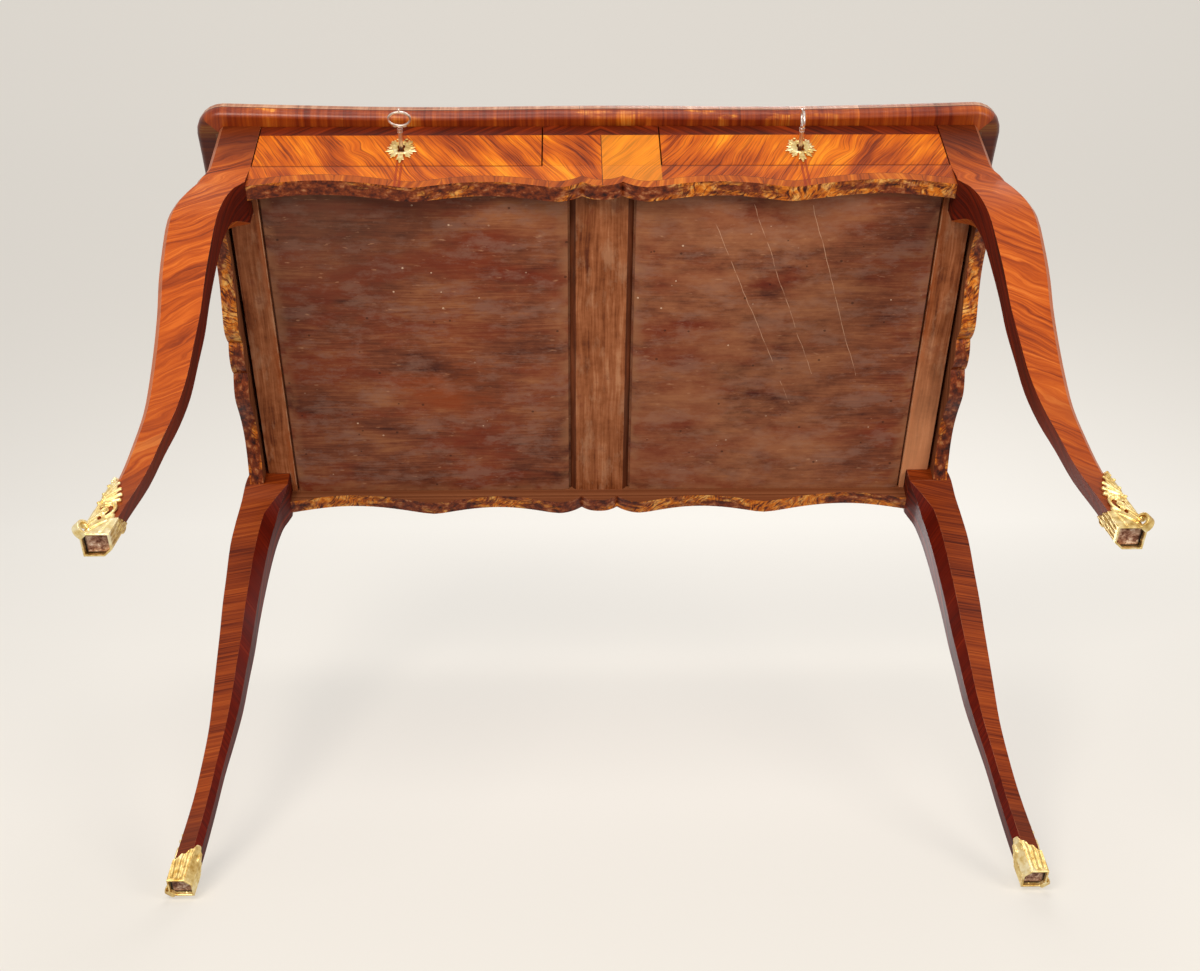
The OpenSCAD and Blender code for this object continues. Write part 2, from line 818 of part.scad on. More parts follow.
module rear_left_sabot() {
    color("#d8b45a") in_frame() mirror([1, 0, 0]) mirror([0, 1, 0]) sabot(rear_rings);
}

module sabot_pins() {
    color("#b8964a") in_frame() both_sides() {
        foot_pins(front_rings, sabot_pin_r, sabot_pin_l);
        mirror([0, 1, 0]) foot_pins(rear_rings, sabot_pin_r, sabot_pin_l);
    }
}

// Bottom frame

module along_y(length) {
    translate([0, length / 2, 0]) rotate([90, 0, 0]) linear_extrude(length) children();
}

module centre_muntin() {
    groove_l = tongue_l - panel_gap + 0.3;
    right = [
        [muntin_face / 2, frame_under],
        [muntin_half, frame_under + muntin_chamfer],
        [muntin_half, tongue_low - tongue_slack],
        [muntin_half - groove_l, tongue_low - tongue_slack],
        [muntin_half - groove_l, tongue_top + tongue_slack],
        [muntin_half, tongue_top + tongue_slack],
        [muntin_half, frame_top]
    ];
    left = [for (i = [len(right) - 1:-1:0]) [-right[i][0], right[i][1]]];
    color("#7a4a35") in_frame() union() {
        along_y(2 * apron_in_y) polygon(concat(right, left));
        muntin_stubs(0);
    }
}

module side_rail() {
    groove_l = tongue_l - panel_gap + 0.3;
    long_d = 2 * (post_y - end_slack / 2);
    inner_w = post_x - end_slack - rail_x0;
    difference() {
        union() {
            translate([rail_x0, -long_d / 2, frame_under]) cube([rail_w, long_d, frame_t]);
            translate([rail_x0, -apron_in_y, frame_under]) cube([inner_w, 2 * apron_in_y, frame_t]);
            rail_tenons(0);
        }
        translate([rail_x0 - eps, -apron_in_y - 1, tongue_low - tongue_slack])
            cube([groove_l + eps, 2 * apron_in_y + 2, tongue_t + 2 * tongue_slack]);
    }
}

module right_side_rail() {
    color("#8a543c") in_frame() side_rail();
}

module left_side_rail() {
    color("#8a543c") in_frame() mirror([1, 0, 0]) side_rail();
}

module dust_panel() {
    section = [
        [panel_x0 + panel_bevel_w, frame_under],
        [panel_x1 - panel_bevel_w, frame_under],
        [panel_x1, frame_under + panel_bevel_h],
        [panel_x1, tongue_low],
        [panel_x1 + tongue_l, tongue_low],
        [panel_x1 + tongue_l, tongue_top],
        [panel_x0 - tongue_l, tongue_top],
        [panel_x0 - tongue_l, tongue_low],
        [panel_x0, tongue_low],
        [panel_x0, frame_under + panel_bevel_h]
    ];
    along_y(2 * (apron_in_y - end_slack)) polygon(section);
}

module right_dust_panel() {
    color("#6b3222") in_frame() dust_panel();
}

module left_dust_panel() {
    color("#6b3222") in_frame() mirror([1, 0, 0]) dust_panel();
}

guide_x1 = drawer_x0 - guide_gap;
guide_w = 10;
runner_x0 = guide_x1 - guide_w;

// Strips on the dust panels that carry the inner sides of the drawers
module drawer_runners() {
    color("#8d5b3a") in_frame() both_sides()
        translate([runner_x0, -apron_in_y + end_slack, panel_top])
            cube([runner_w, 2 * (apron_in_y - end_slack), frame_top - panel_top]);
}

// Strips that steer both sides of each drawer
module drawer_guides() {
    outer_x0 = drawer_x1 + guide_gap;
    color("#93603e") in_frame() both_sides() {
        translate([runner_x0, -apron_in_y + end_slack, frame_top])
            cube([guide_w, 2 * (apron_in_y - end_slack), guide_h]);
        translate([outer_x0, -post_y + end_slack, frame_top])
            cube([rail_x1 - outer_x0, 2 * (post_y - end_slack), guide_h]);
    }
}

// Blocks on the rear apron that the closed drawers meet
module drawer_stops() {
    inset = 30;
    stop_y0 = box_rear_y + run_gap;
    stop_z0 = bottom_z + bottom_t + 12;
    color("#8d5b3a") in_frame() both_sides() for (x = [drawer_x0 + inset, drawer_x1 - inset - stop_w])
        translate([x, stop_y0, stop_z0]) cube([stop_w, apron_in_y - stop_y0, stop_w]);
}

// Top fixing

kicker_front_y = box_front_y + 1.5;
inner_kicker_x = drawer_x0 + side_t / 2 - kicker_w / 2;
outer_kicker_x = post_x - end_slack - kicker_w;

// Screws up through the kickers into the top
module screw_row(r, z, l) {
    for (x = [inner_kicker_x + kicker_w / 2, outer_kicker_x + kicker_w / 2])
        for (y = [-0.8 * post_y, 0, 0.8 * post_y])
            both_sides() translate([x, y, z]) cylinder(r = r, h = l);
}

module screw_heads(r) {
    for (x = [inner_kicker_x + kicker_w / 2, outer_kicker_x + kicker_w / 2])
        for (y = [-0.8 * post_y, 0, 0.8 * post_y])
            both_sides() translate([x, y, top_under - kicker_t])
                cylinder(r1 = r, r2 = screw_r, h = r - screw_r);
}

module kickers() {
    color("#8d5b3a") in_frame() difference() {
        both_sides() for (x = [inner_kicker_x, outer_kicker_x])
            translate([x, kicker_front_y, top_under - kicker_t])
                cube([kicker_w, apron_in_y - kicker_front_y, kicker_t]);
        screw_row(screw_r + 0.05, top_under - kicker_t - eps, kicker_t + 2 * eps);
        screw_heads(screw_head_r + 0.05);
    }
}

module top_screws() {
    slot_w = 0.9;
    color("#6f6f70") in_frame() difference() {
        union() {
            screw_row(screw_r, top_under - kicker_t, screw_l);
            screw_heads(screw_head_r);
        }
        for (x = [inner_kicker_x + kicker_w / 2, outer_kicker_x + kicker_w / 2])
            for (y = [-0.8 * post_y, 0, 0.8 * post_y])
                both_sides() translate([x - slot_w / 2, y - screw_head_r - 1, top_under - kicker_t - 1])
                    cube([slot_w, 2 * screw_head_r + 2, 1.8]);
    }
}

// Three-cornered blocks glued under the top against the rear and side aprons
module glue_block() {
    translate([-block_l / 2, 0, 0]) rotate([90, 0, 90]) linear_extrude(block_l)
        polygon([[0, 0], [-block_s, 0], [0, -block_s]]);
}

module glue_blocks() {
    color("#8a5a38") in_frame() both_sides() {
        for (x = [0.38 * post_x, 0.73 * post_x]) translate([x, apron_in_y, top_under]) glue_block();
        for (y = [-0.5 * post_y, 0.5 * post_y])
            translate([side_in_x, y, top_under]) rotate([0, 0, -90]) glue_block();
    }
}

// Drawers, made for the +X side

side_h = side_top - side_bottom;
tail_pitch = side_h / tail_count;

// Tails on the front end of both drawer sides, which widen towards the drawer front
module tails(slack) {
    neck = 0.27 * tail_pitch + slack;
    tip = 0.37 * tail_pitch + slack;
    for (i = [0:tail_count - 1])
        translate([drawer_x0 - eps, box_front_y, side_bottom + (i + 0.5) * tail_pitch])
            for (x = [0, drawer_x1 - drawer_x0 - side_t - slack + eps])
                translate([x, 0, 0]) rotate([90, 0, 90]) linear_extrude(side_t + slack + eps)
                    polygon([[eps, -neck], [eps, neck],
                             [-tail_l - slack, tip], [-tail_l - slack, -tip]]);
}

module bottom_board(slack) {
    x0 = drawer_x0 + side_t - groove_d;
    x1 = drawer_x1 - side_t + groove_d;
    translate([x0, box_front_y - groove_d, bottom_z - slack])
        cube([x1 - x0, box_rear_y - box_front_y + groove_d, bottom_t + 2 * slack]);
}

module keyhole(r, slot_half, drop, y0, y1) {
    translate([key_x, y1, key_z]) rotate([90, 0, 0]) cylinder(r = r, h = y1 - y0);
    translate([key_x - slot_half, y0, key_z - drop]) cube([2 * slot_half, y1 - y0, drop]);
}

keyhole_drop = bit_reach + 1;
keyhole_slot_half = bit_t / 2 + 0.5;
wide_hole_r = 4.8;
wide_hole_rise = 8.5;

// The shaped opening in the plate and in the drawer front, wider than the key
module wide_keyhole(y0, y1) {
    translate([key_x, y1, key_z]) rotate([90, 0, 0]) linear_extrude(y1 - y0) {
        translate([0, wide_hole_rise]) circle(wide_hole_r);
        polygon([[-3.4, wide_hole_rise], [-wide_hole_r, 1], [-3.2, -3], [-wide_hole_r, -keyhole_drop - 1],
                 [-2.4, -keyhole_drop - 2.4], [0, -keyhole_drop - 1], [2.4, -keyhole_drop - 2.4],
                 [wide_hole_r, -keyhole_drop - 1], [3.2, -3], [wide_hole_r, 1], [3.4, wide_hole_rise]]);
    }
}

module drawer_front() {
    difference() {
        translate([drawer_x0, -half_d, drawer_bottom]) cube([drawer_x1 - drawer_x0, front_t, drawer_h]);
        tails(0.05);
        bottom_board(0.05);
        translate([key_x - lock_half - 0.1, case_y0 - 0.1, case_low - 0.1])
            cube([2 * (lock_half + 0.1), lock_d + 1, drawer_top - case_low + 1]);
        wide_keyhole(-half_d - 1, case_y0 + 1);
        lock_screw_row(0.05);
        escutcheon_pin_row(pin_r + 0.05, pin_l);
    }
}

module drawer_sides() {
    difference() {
        union() {
            for (x = [drawer_x0, drawer_x1 - side_t])
                translate([x, box_front_y, side_bottom]) cube([side_t, box_rear_y - box_front_y, side_h]);
            intersection() {
                tails(0);
                for (x = [drawer_x0, drawer_x1 - side_t])
                    translate([x, box_front_y - 2 * tail_l, 0]) cube([side_t, 3 * tail_l, table_h]);
            }
        }
        bottom_board(0.05);
    }
}

back_low = bottom_z + bottom_t;
back_top = side_top - 5;

module drawer_back() {
    translate([drawer_x0 + side_t, box_rear_y - side_t, back_low])
        cube([drawer_x1 - drawer_x0 - 2 * side_t, side_t, back_top - back_low]);
}

// Keyhole plate: pointed leaves round the keyhole, with two small curls above

// Each leaf: angle from straight down, length, half of the angle it fills
plate_leaves = [
    [0, plate_below, 14],
    [26, 0.74 * plate_below, 13],
    [44, 0.6 * plate_below, 9],
    [63, 1.12 * plate_half_w, 13],
    [95, plate_half_w, 15],
    [120, 0.95 * plate_half_w, 11],
    [143, 1.2 * plate_half_w, 14],
    [170, 1.13 * plate_half_w, 12]
];
plate_core_x = 12.5;
plate_core_z = 17.5;
plate_steps = 120;

function core_r(q) = 1 / sqrt(pow(sin(q) / plate_core_x, 2) + pow(cos(q) / plate_core_z, 2));

function leaf_r(q, leaf) =
    let (off = abs(q - leaf[0]) / leaf[2])
    off >= 1 ? 0 : core_r(q) + (leaf[1] - core_r(leaf[0])) * pow(cos(90 * off), 0.6);

function plate_r(q) = max(concat([core_r(q)], [for (leaf = plate_leaves) leaf_r(abs(q), leaf)]));

module plate_outline(share) {
    polygon([for (i = [0:plate_steps - 1])
        let (q = 360 * i / plate_steps - 180, r = share * plate_r(q))
        [r * sin(q), -r * cos(q)]]);
}

curl_r = 2.3;
curl_x = 5;

module curls() {
    both_sides() {
        translate([curl_x, curl_rise, 0]) cylinder(r = curl_r, h = plate_t + relief_t / 2);
        linear_extrude(plate_t) polygon([[curl_x - 3, plate_core_z], [curl_x + 1, plate_core_z],
                                         [curl_x + 1.4, curl_rise], [curl_x - 1.4, curl_rise]]);
    }
}

module escutcheon() {
    difference() {
        translate([key_x, -half_d, key_z]) rotate([90, 0, 0]) {
            linear_extrude(plate_t) plate_outline(1);
            linear_extrude(plate_t + relief_t / 2) plate_outline(0.8);
            curls();
        }
        wide_keyhole(-half_d - 10, -half_d + 1);
        escutcheon_pin_row(pin_r + 0.05, -5);
    }
}

pin_head_r = 1.3;
pin_r = 0.7;
pin_l = 8;
pin_spots = [[-9.5, 7], [9.5, -8]];

// Two round-headed pins, above left and below right of the keyhole; deep is their reach in the wood
module escutcheon_pin_row(r, deep) {
    past = deep < 0 ? 1 : 0;
    start = max(deep, 1);
    for (spot = pin_spots)
        translate([key_x + spot[0], -half_d + start, key_z + spot[1]])
            rotate([90, 0, 0]) cylinder(r = r, h = start + plate_t + relief_t / 2 + past);
}

module escutcheon_pins() {
    escutcheon_pin_row(pin_r, pin_l);
    for (spot = pin_spots)
        translate([key_x + spot[0], -half_d - plate_t - relief_t / 2, key_z + spot[1]])
            rotate([90, 0, 0]) cylinder(r1 = pin_head_r, r2 = pin_head_r / 2, h = 0.7);
}

// Lock

lock_screw_l = 9;
lock_screw_r = 1.4;
lock_screw_x = lock_half + 3;
lock_screw_inset = 5;

module lock_screw_row(slack) {
    for (side = [-1, 1]) for (z = [case_low + lock_screw_inset, case_top - lock_screw_inset])
        translate([key_x + side * lock_screw_x, box_front_y + flange_t + slack, z]) rotate([90, 0, 0])
            cylinder(r = lock_screw_r + slack, h = lock_screw_l + 2 * slack);
}

module lock_screws() {
    slot_w = 0.7;
    head_h = 1;
    difference() {
        union() {
            lock_screw_row(0);
            for (side = [-1, 1]) for (z = [case_low + lock_screw_inset, case_top - lock_screw_inset])
                translate([key_x + side * lock_screw_x, box_front_y + flange_t + head_h, z])
                    rotate([90, 0, 0]) cylinder(r = 2.6, h = head_h);
        }
        for (side = [-1, 1]) for (z = [case_low + lock_screw_inset, case_top - lock_screw_inset])
            translate([key_x + side * lock_screw_x - slot_w / 2, box_front_y + flange_t + 0.4, z - 4])
                cube([slot_w, 2, 8]);
    }
}

module bolt_slot() {
    translate([key_x - bolt_half - bolt_slack, bolt_y0 - bolt_slack, case_top - lock_wall - 1])
        cube([2 * (bolt_half + bolt_slack), bolt_t + 2 * bolt_slack, lock_wall + 3]);
}

lock_pin_l = lock_d + 4;

module lock_case() {
    difference() {
        union() {
            translate([key_x - lock_half, case_y0, case_low])
                cube([2 * lock_half, lock_d, case_top - case_low]);
            translate([key_x - flange_half, box_front_y, case_low - 3])
                cube([2 * flange_half, flange_t, case_top - case_low + 3]);
        }
        translate([key_x - lock_half + lock_wall, case_y0 + lock_wall, case_low + lock_wall])
            cube([2 * (lock_half - lock_wall), lock_d - lock_wall, case_top - case_low - 2 * lock_wall]);
        bolt_slot();
        keyhole(shank_hole_r, keyhole_slot_half, keyhole_drop, case_y0 - 1, case_y0 + lock_wall + eps);
        lock_screw_row(0.05);
    }
    translate([key_x, box_front_y + eps, key_z]) rotate([90, 0, 0]) cylinder(r = lock_pin_r, h = lock_pin_l);
}

module lock_bolt() {
    stud_half = 3;
    stud_z = key_z + bit_reach + 1.5;
    union() {
        translate([key_x - bolt_half, bolt_y0, bolt_low]) cube([2 * bolt_half, bolt_t, bolt_top - bolt_low]);
        translate([key_x - stud_half, bit_y0, stud_z]) cube([2 * stud_half, bolt_y0 - bit_y0 + eps, 6]);
    }
}

// Oval ring of the key, lying flat, with its long way across the shank
module bow() {
    ring_r = bow_l / 2 - bow_wire_r;
    straight = bow_w - bow_l;
    translate([0, bow_y, 0]) for (side = [-1, 1]) {
        translate([side * straight / 2, 0, 0]) rotate([0, 0, side > 0 ? -90 : 90])
            rotate_extrude(angle = 180) translate([ring_r, 0]) circle(bow_wire_r);
        translate([-straight / 2 - eps, side * ring_r, 0]) rotate([0, 90, 0])
            cylinder(r = bow_wire_r, h = straight + 2 * eps);
    }
}

// Pipe key at rest with its bow turned by some angle about the shank
module key(turn) {
    shank_y0 = bow_y + bow_l / 2 - bow_wire_r;
    knob_r = 2.2;
    translate([key_x, 0, key_z]) rotate([0, turn, 0]) difference() {
        union() {
            bow();
            translate([0, bit_y1, 0]) rotate([90, 0, 0]) cylinder(r = shank_r, h = bit_y1 - shank_y0);
            for (step = [[2, 3.4, 2.2], [6, 3.1, 1.4]])
                translate([0, bow_y + bow_l / 2 + step[0] + step[2], 0])
                    rotate([90, 0, 0]) cylinder(r = step[1], h = step[2]);
            translate([0, -half_d - shank_out - bow_l + 0.6, 0])
                rotate([90, 0, 0]) cylinder(r1 = 1.4, r2 = knob_r, h = knob_l / 2 + 0.6);
            translate([0, -half_d - shank_out - bow_l - knob_l / 2, 0])
                rotate([90, 0, 0]) cylinder(r1 = knob_r, r2 = 1, h = knob_l / 2);
            translate([0, bit_y0, -bit_t / 2]) cube([bit_reach, bit_y1 - bit_y0, bit_t]);
        }
        translate([0, bit_y1 + 1, 0]) rotate([90, 0, 0])
            cylinder(r = lock_pin_r + pipe_clear, h = bit_y1 + 1 - box_front_y + lock_pin_l + 1);
    }
}

// The two drawers mirror each other; the keys are left at different angles

module right_drawer_front() {
    color("#d07a24") in_frame() drawer_front();
}

module left_drawer_front() {
    color("#d07a24") in_frame() mirror([1, 0, 0]) drawer_front();
}

module right_drawer_sides() {
    color("#b98c5a") in_frame() drawer_sides();
}

module left_drawer_sides() {
    color("#b98c5a") in_frame() mirror([1, 0, 0]) drawer_sides();
}

module right_drawer_back() {
    color("#b98c5a") in_frame() drawer_back();
}

module left_drawer_back() {
    color("#b98c5a") in_frame() mirror([1, 0, 0]) drawer_back();
}

module right_drawer_bottom() {
    color("#c39a68") in_frame() bottom_board(0);
}

module left_drawer_bottom() {
    color("#c39a68") in_frame() mirror([1, 0, 0]) bottom_board(0);
}

module right_escutcheon() {
    color("#e0c070") in_frame() escutcheon();
}

module left_escutcheon() {
    color("#e0c070") in_frame() mirror([1, 0, 0]) escutcheon();
}

module right_escutcheon_pins() {
    color("#c9a85a") in_frame() escutcheon_pins();
}

module left_escutcheon_pins() {
    color("#c9a85a") in_frame() mirror([1, 0, 0]) escutcheon_pins();
}

module right_lock_case() {
    color("#9a8a5a") in_frame() lock_case();
}

module left_lock_case() {
    color("#9a8a5a") in_frame() mirror([1, 0, 0]) lock_case();
}

module right_lock_screws() {
    color("#6f6f70") in_frame() lock_screws();
}

module left_lock_screws() {
    color("#6f6f70") in_frame() mirror([1, 0, 0]) lock_screws();
}

module right_lock_bolt() {
    color("#8c8c90") in_frame() lock_bolt();
}

module left_lock_bolt() {
    color("#8c8c90") in_frame() mirror([1, 0, 0]) lock_bolt();
}

module right_key() {
    color("#c9c2bd") in_frame() key(90);
}

module left_key() {
    color("#c9c2bd") in_frame() mirror([1, 0, 0]) key(0);
}

top_board();
writing_leather();
front_apron();
centre_stile();
rear_apron();
left_apron();
right_apron();
front_left_leg();
front_right_leg();
rear_left_leg();
rear_right_leg();
front_left_sabot();
front_right_sabot();
rear_left_sabot();
rear_right_sabot();
sabot_pins();
centre_muntin();
left_side_rail();
right_side_rail();
left_dust_panel();
right_dust_panel();
drawer_runners();
drawer_guides();
drawer_stops();
kickers();
top_screws();
glue_blocks();
left_drawer_front();
left_drawer_sides();
left_drawer_back();
left_drawer_bottom();
left_escutcheon();
left_escutcheon_pins();
left_lock_case();
left_lock_screws();
left_lock_bolt();
left_key();
right_drawer_front();
right_drawer_sides();
right_drawer_back();
right_drawer_bottom();
right_escutcheon();
right_escutcheon_pins();
right_lock_case();
right_lock_screws();
right_lock_bolt();
right_key();
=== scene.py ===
# %% [markdown]
# # A writing table seen from below
# The object is a small French writing table on four curved legs. The photograph looks up at its
# unfinished underside, with the veneered front, the two drawers and the bronze shoes round it. The
# construction is already modelled and packed as a frame of named pieces. This lesson dresses that
# frame: worn edges with a painted highlight, veneer, stained boards, cast bronze and old steel. It
# starts by loading the frame, because every piece made here takes its place and size from it.

# %% Load the frame
import json
import math

import bmesh
import bpy
from mathutils import Matrix, Vector

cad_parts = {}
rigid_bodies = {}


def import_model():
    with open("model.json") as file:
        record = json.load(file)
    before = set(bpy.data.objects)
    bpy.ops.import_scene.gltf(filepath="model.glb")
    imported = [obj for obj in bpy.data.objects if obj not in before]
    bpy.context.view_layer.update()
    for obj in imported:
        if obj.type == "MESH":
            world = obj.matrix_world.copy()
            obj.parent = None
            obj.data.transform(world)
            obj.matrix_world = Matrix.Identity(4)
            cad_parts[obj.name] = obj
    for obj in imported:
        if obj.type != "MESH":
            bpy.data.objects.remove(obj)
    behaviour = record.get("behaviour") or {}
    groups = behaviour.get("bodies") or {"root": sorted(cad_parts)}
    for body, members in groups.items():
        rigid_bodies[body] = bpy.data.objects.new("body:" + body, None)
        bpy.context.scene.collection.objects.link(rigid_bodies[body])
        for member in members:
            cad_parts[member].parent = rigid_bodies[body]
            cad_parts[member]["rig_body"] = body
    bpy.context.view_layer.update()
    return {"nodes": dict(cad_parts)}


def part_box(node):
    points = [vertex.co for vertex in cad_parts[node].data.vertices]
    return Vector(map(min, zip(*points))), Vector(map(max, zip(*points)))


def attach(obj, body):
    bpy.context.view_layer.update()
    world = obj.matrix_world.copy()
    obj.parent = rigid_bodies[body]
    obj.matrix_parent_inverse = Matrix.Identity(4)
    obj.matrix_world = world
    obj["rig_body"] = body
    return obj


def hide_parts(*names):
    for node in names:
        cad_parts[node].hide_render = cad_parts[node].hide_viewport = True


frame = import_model()
nodes = frame["nodes"]
slot_of = {name: node.data.materials[0].name for name, node in nodes.items()}
MM = 0.001

# %% [markdown]
# ## The camera
# A camera is a place, a direction and a focal length. These were worked out from the corners of the
# top, the aprons and the four feet, whose real places are known, so the picture has the photograph's
# perspective. The table is tipped back in the photograph. Here it stands upright, so the camera goes
# below the floor and looks up. Yaw turns it left or right, pitch tilts it up, and roll leans it.

# %% Make the camera
PHOTO_WIDTH = 1200
FOCAL_LENGTH_PX = 1735.3
SENSOR_WIDTH_MM = 36.0
CAMERA_PLACE = Vector((-0.0440, -1.27215, -1.1342))
YAW, PITCH, ROLL = math.radians(-1.705), math.radians(49.321), math.radians(-1.650)

look = Vector((-math.sin(YAW) * math.cos(PITCH), math.cos(YAW) * math.cos(PITCH), math.sin(PITCH)))
level = Vector((math.cos(YAW), math.sin(YAW), 0))
rise = level.cross(look)
picture_right = math.cos(ROLL) * level + math.sin(ROLL) * rise
picture_up = math.cos(ROLL) * rise - math.sin(ROLL) * level

camera_data = bpy.data.cameras.new("photo_camera")
camera_data.sensor_width = SENSOR_WIDTH_MM
camera_data.lens = FOCAL_LENGTH_PX / PHOTO_WIDTH * SENSOR_WIDTH_MM
camera_data.clip_start = 0.01
camera = bpy.data.objects.new("photo_camera", camera_data)
turned = Matrix((picture_right, picture_up, -look)).transposed().to_4x4()
camera.matrix_world = Matrix.Translation(CAMERA_PLACE) @ turned
bpy.context.scene.collection.objects.link(camera)
bpy.context.scene.camera = camera
bpy.context.scene.view_settings.view_transform = "Standard"
print("lens:", round(camera_data.lens, 2), "mm")

# %% [markdown]
# ## Shader maths as plain Python
# A material is a graph of nodes, and long sums of Math nodes are hard to read when each is made by
# hand. So a small class wraps one number socket and answers to + - * and /, in both orders, and
# each sum adds its Math node. A Math node turns a colour grey, so colours go through Mix nodes.

# %% A number socket that can be added and multiplied
class Amount:
    def __init__(self, graph, socket):
        self.graph = graph
        self.socket = socket

    def sum(self, operation, *others, clamp=False):
        return self.graph.math(operation, self, *others, clamp=clamp)

    def __add__(self, other):
        return self.sum("ADD", other)

    def __sub__(self, other):
        return self.sum("SUBTRACT", other)

    def __rsub__(self, other):
        return self.graph.math("SUBTRACT", other, self)

    def __mul__(self, other):
        return self.sum("MULTIPLY", other)

    def __truediv__(self, other):
        return self.sum("DIVIDE", other)

    def __rtruediv__(self, other):
        return self.graph.math("DIVIDE", other, self)

    def __abs__(self):
        return self.sum("ABSOLUTE")

    def above(self, limit):
        return self.sum("GREATER_THAN", limit)

    def below(self, limit):
        return self.sum("LESS_THAN", limit)

    def between(self, low, high):
        """0 at low, 1 at high, and a straight ramp between them."""
        return ((self - low) / (high - low)).sum("MULTIPLY", 1.0, clamp=True)

    __radd__ = __add__
    __rmul__ = __mul__


def paint(text):
    """The light that a colour sends back, for a colour written as on a chart, such as "#c8641e"."""
    parts = [int(text[i:i + 2], 16) / 255 for i in (1, 3, 5)]
    linear = [p / 12.92 if p <= 0.04045 else ((p + 0.055) / 1.055) ** 2.4 for p in parts]
    return (*linear, 1.0)


print("veneer orange:", [round(part, 3) for part in paint("#d8731c")])

# %% [markdown]
# ## A graph of nodes
# Each finish, each floor and the light of the room is a graph of nodes. Every node could be made and
# linked by hand, but then the pattern drowns in wiring. So one method makes any node, from its type,
# its settings and the values or links of its sockets. The other methods are short names for the
# nodes that wood and metal need again and again.

# %% The class for a graph
class Graph:
    """The nodes of one material or world."""

    def __init__(self, tree):
        self.tree = tree
        tree.nodes.clear()

    def node(self, kind, settings=None, sockets=None):
        made = self.tree.nodes.new(kind)
        for name, value in (settings or {}).items():
            setattr(made, name, value)
        for name, value in (sockets or {}).items():
            value = value.socket if isinstance(value, Amount) else value
            if isinstance(value, bpy.types.NodeSocket):
                self.tree.links.new(value, made.inputs[name])
            else:
                made.inputs[name].default_value = value
        return made

    def math(self, operation, *values, clamp=False):
        made = self.node("ShaderNodeMath", {"operation": operation, "use_clamp": clamp},
                         dict(enumerate(values)))
        return Amount(self, made.outputs[0])

    def split(self, vector):
        made = self.node("ShaderNodeSeparateXYZ", sockets={"Vector": vector})
        return [Amount(self, made.outputs[axis]) for axis in "XYZ"]

    def join(self, x, y, z=0.0):
        return self.node("ShaderNodeCombineXYZ", sockets={"X": x, "Y": y, "Z": z}).outputs[0]

    def noise(self, vector, scale=1.0, detail=2.0, roughness=0.5, distortion=0.0):
        made = self.node("ShaderNodeTexNoise", sockets={
            "Vector": vector, "Scale": scale, "Detail": detail,
            "Roughness": roughness, "Distortion": distortion})
        return Amount(self, made.outputs[0])

    def cells(self, vector, scale, feature="F1"):
        made = self.node("ShaderNodeTexVoronoi", {"feature": feature},
                         {"Vector": vector, "Scale": scale})
        return Amount(self, made.outputs["Distance"])

    def attribute(self, name):
        made = self.node("ShaderNodeAttribute", {"attribute_name": name})
        return Amount(self, made.outputs["Fac"])

    def pick(self, mask, there, elsewhere):
        """One number where the mask is 1 and another where it is 0."""
        return elsewhere + (there - elsewhere) * mask

    def ramp(self, amount, *stops):
        """A colour for each value: stops are (place, colour) pairs in rising order."""
        made = self.node("ShaderNodeValToRGB", sockets={"Fac": amount})
        points = made.color_ramp.elements
        while len(points) < len(stops):
            points.new(0.5)
        for point, (place, colour) in zip(points, stops):
            point.position = place
            point.color = paint(colour)
        return made.outputs["Color"]

    def mix(self, mask, over, under):
        """One colour where the mask is 1 and another where it is 0. Each is a link or "#rrggbb"."""
        over, under = (paint(c) if isinstance(c, str) else c for c in (over, under))
        made = self.node("ShaderNodeMix", {"data_type": "RGBA"}, {0: mask, 6: under, 7: over})
        return made.outputs[2]


print("a graph has", sum(not name.startswith("_") for name in vars(Graph)), "kinds of step")

# %% [markdown]
# ## A finish
# Each finish on the table is one Principled shader with a bump. Every pattern reads Object
# coordinates, which here are metres in the table's own frame, so a streak of 5 mm is written as 5 mm
# and runs on from one piece to its neighbour as on matched veneer. The direction that a surface faces
# is kept too, because on legs and aprons it tells one side's veneer from the next one's.

# %% The class for a finish
class Finish(Graph):
    """A material with a place, a facing and one Principled shader."""

    def __init__(self, name, coat=0.0, coat_roughness=0.2, metallic=0.0, shine=0.3):
        self.material = bpy.data.materials.new(name)
        self.material.use_nodes = True
        super().__init__(self.material.node_tree)
        self.shader = self.node("ShaderNodeBsdfPrincipled", sockets={
            "Metallic": metallic, "Specular IOR Level": shine,
            "Coat Weight": coat, "Coat Roughness": coat_roughness})
        self.node("ShaderNodeOutputMaterial", sockets={"Surface": self.shader.outputs["BSDF"]})
        where = self.node("ShaderNodeTexCoord")
        self.place = where.outputs["Object"]
        self.x, self.y, self.z = self.split(self.place)
        self.side = abs(self.x)
        self.nx, self.ny, self.nz = self.split(where.outputs["Normal"])

    def done(self, colour, roughness, height, depth, strength):
        """Joins the colour, the roughness and a height in parts of depth metres to the shader."""
        bump = self.node("ShaderNodeBump", sockets={
            "Height": height, "Distance": depth, "Strength": strength})
        self.tree.links.new(colour, self.shader.inputs["Base Color"])
        self.tree.links.new(roughness.socket, self.shader.inputs["Roughness"])
        self.tree.links.new(bump.outputs["Normal"], self.shader.inputs["Normal"])
        return self.material


test_finish = Finish("test_finish")
print("a finish starts with", len(test_finish.tree.nodes), "nodes")
bpy.data.materials.remove(test_finish.material)

# %% [markdown]
# ## The figure of wood
# Wood is a bundle of long fibres with darker growth lines, so its pattern is noise that is squeezed
# across the grain and stretched along it. One image of a plank would repeat and would not follow the
# different directions of veneer. Instead three noises are added: pale and dark patches as wide as a
# finger, streaks a few millimetres wide, and fibres as thin as a hair. A slow drift is added to the
# place across the grain first, so that the streaks bend and swirl as they do near a knot.

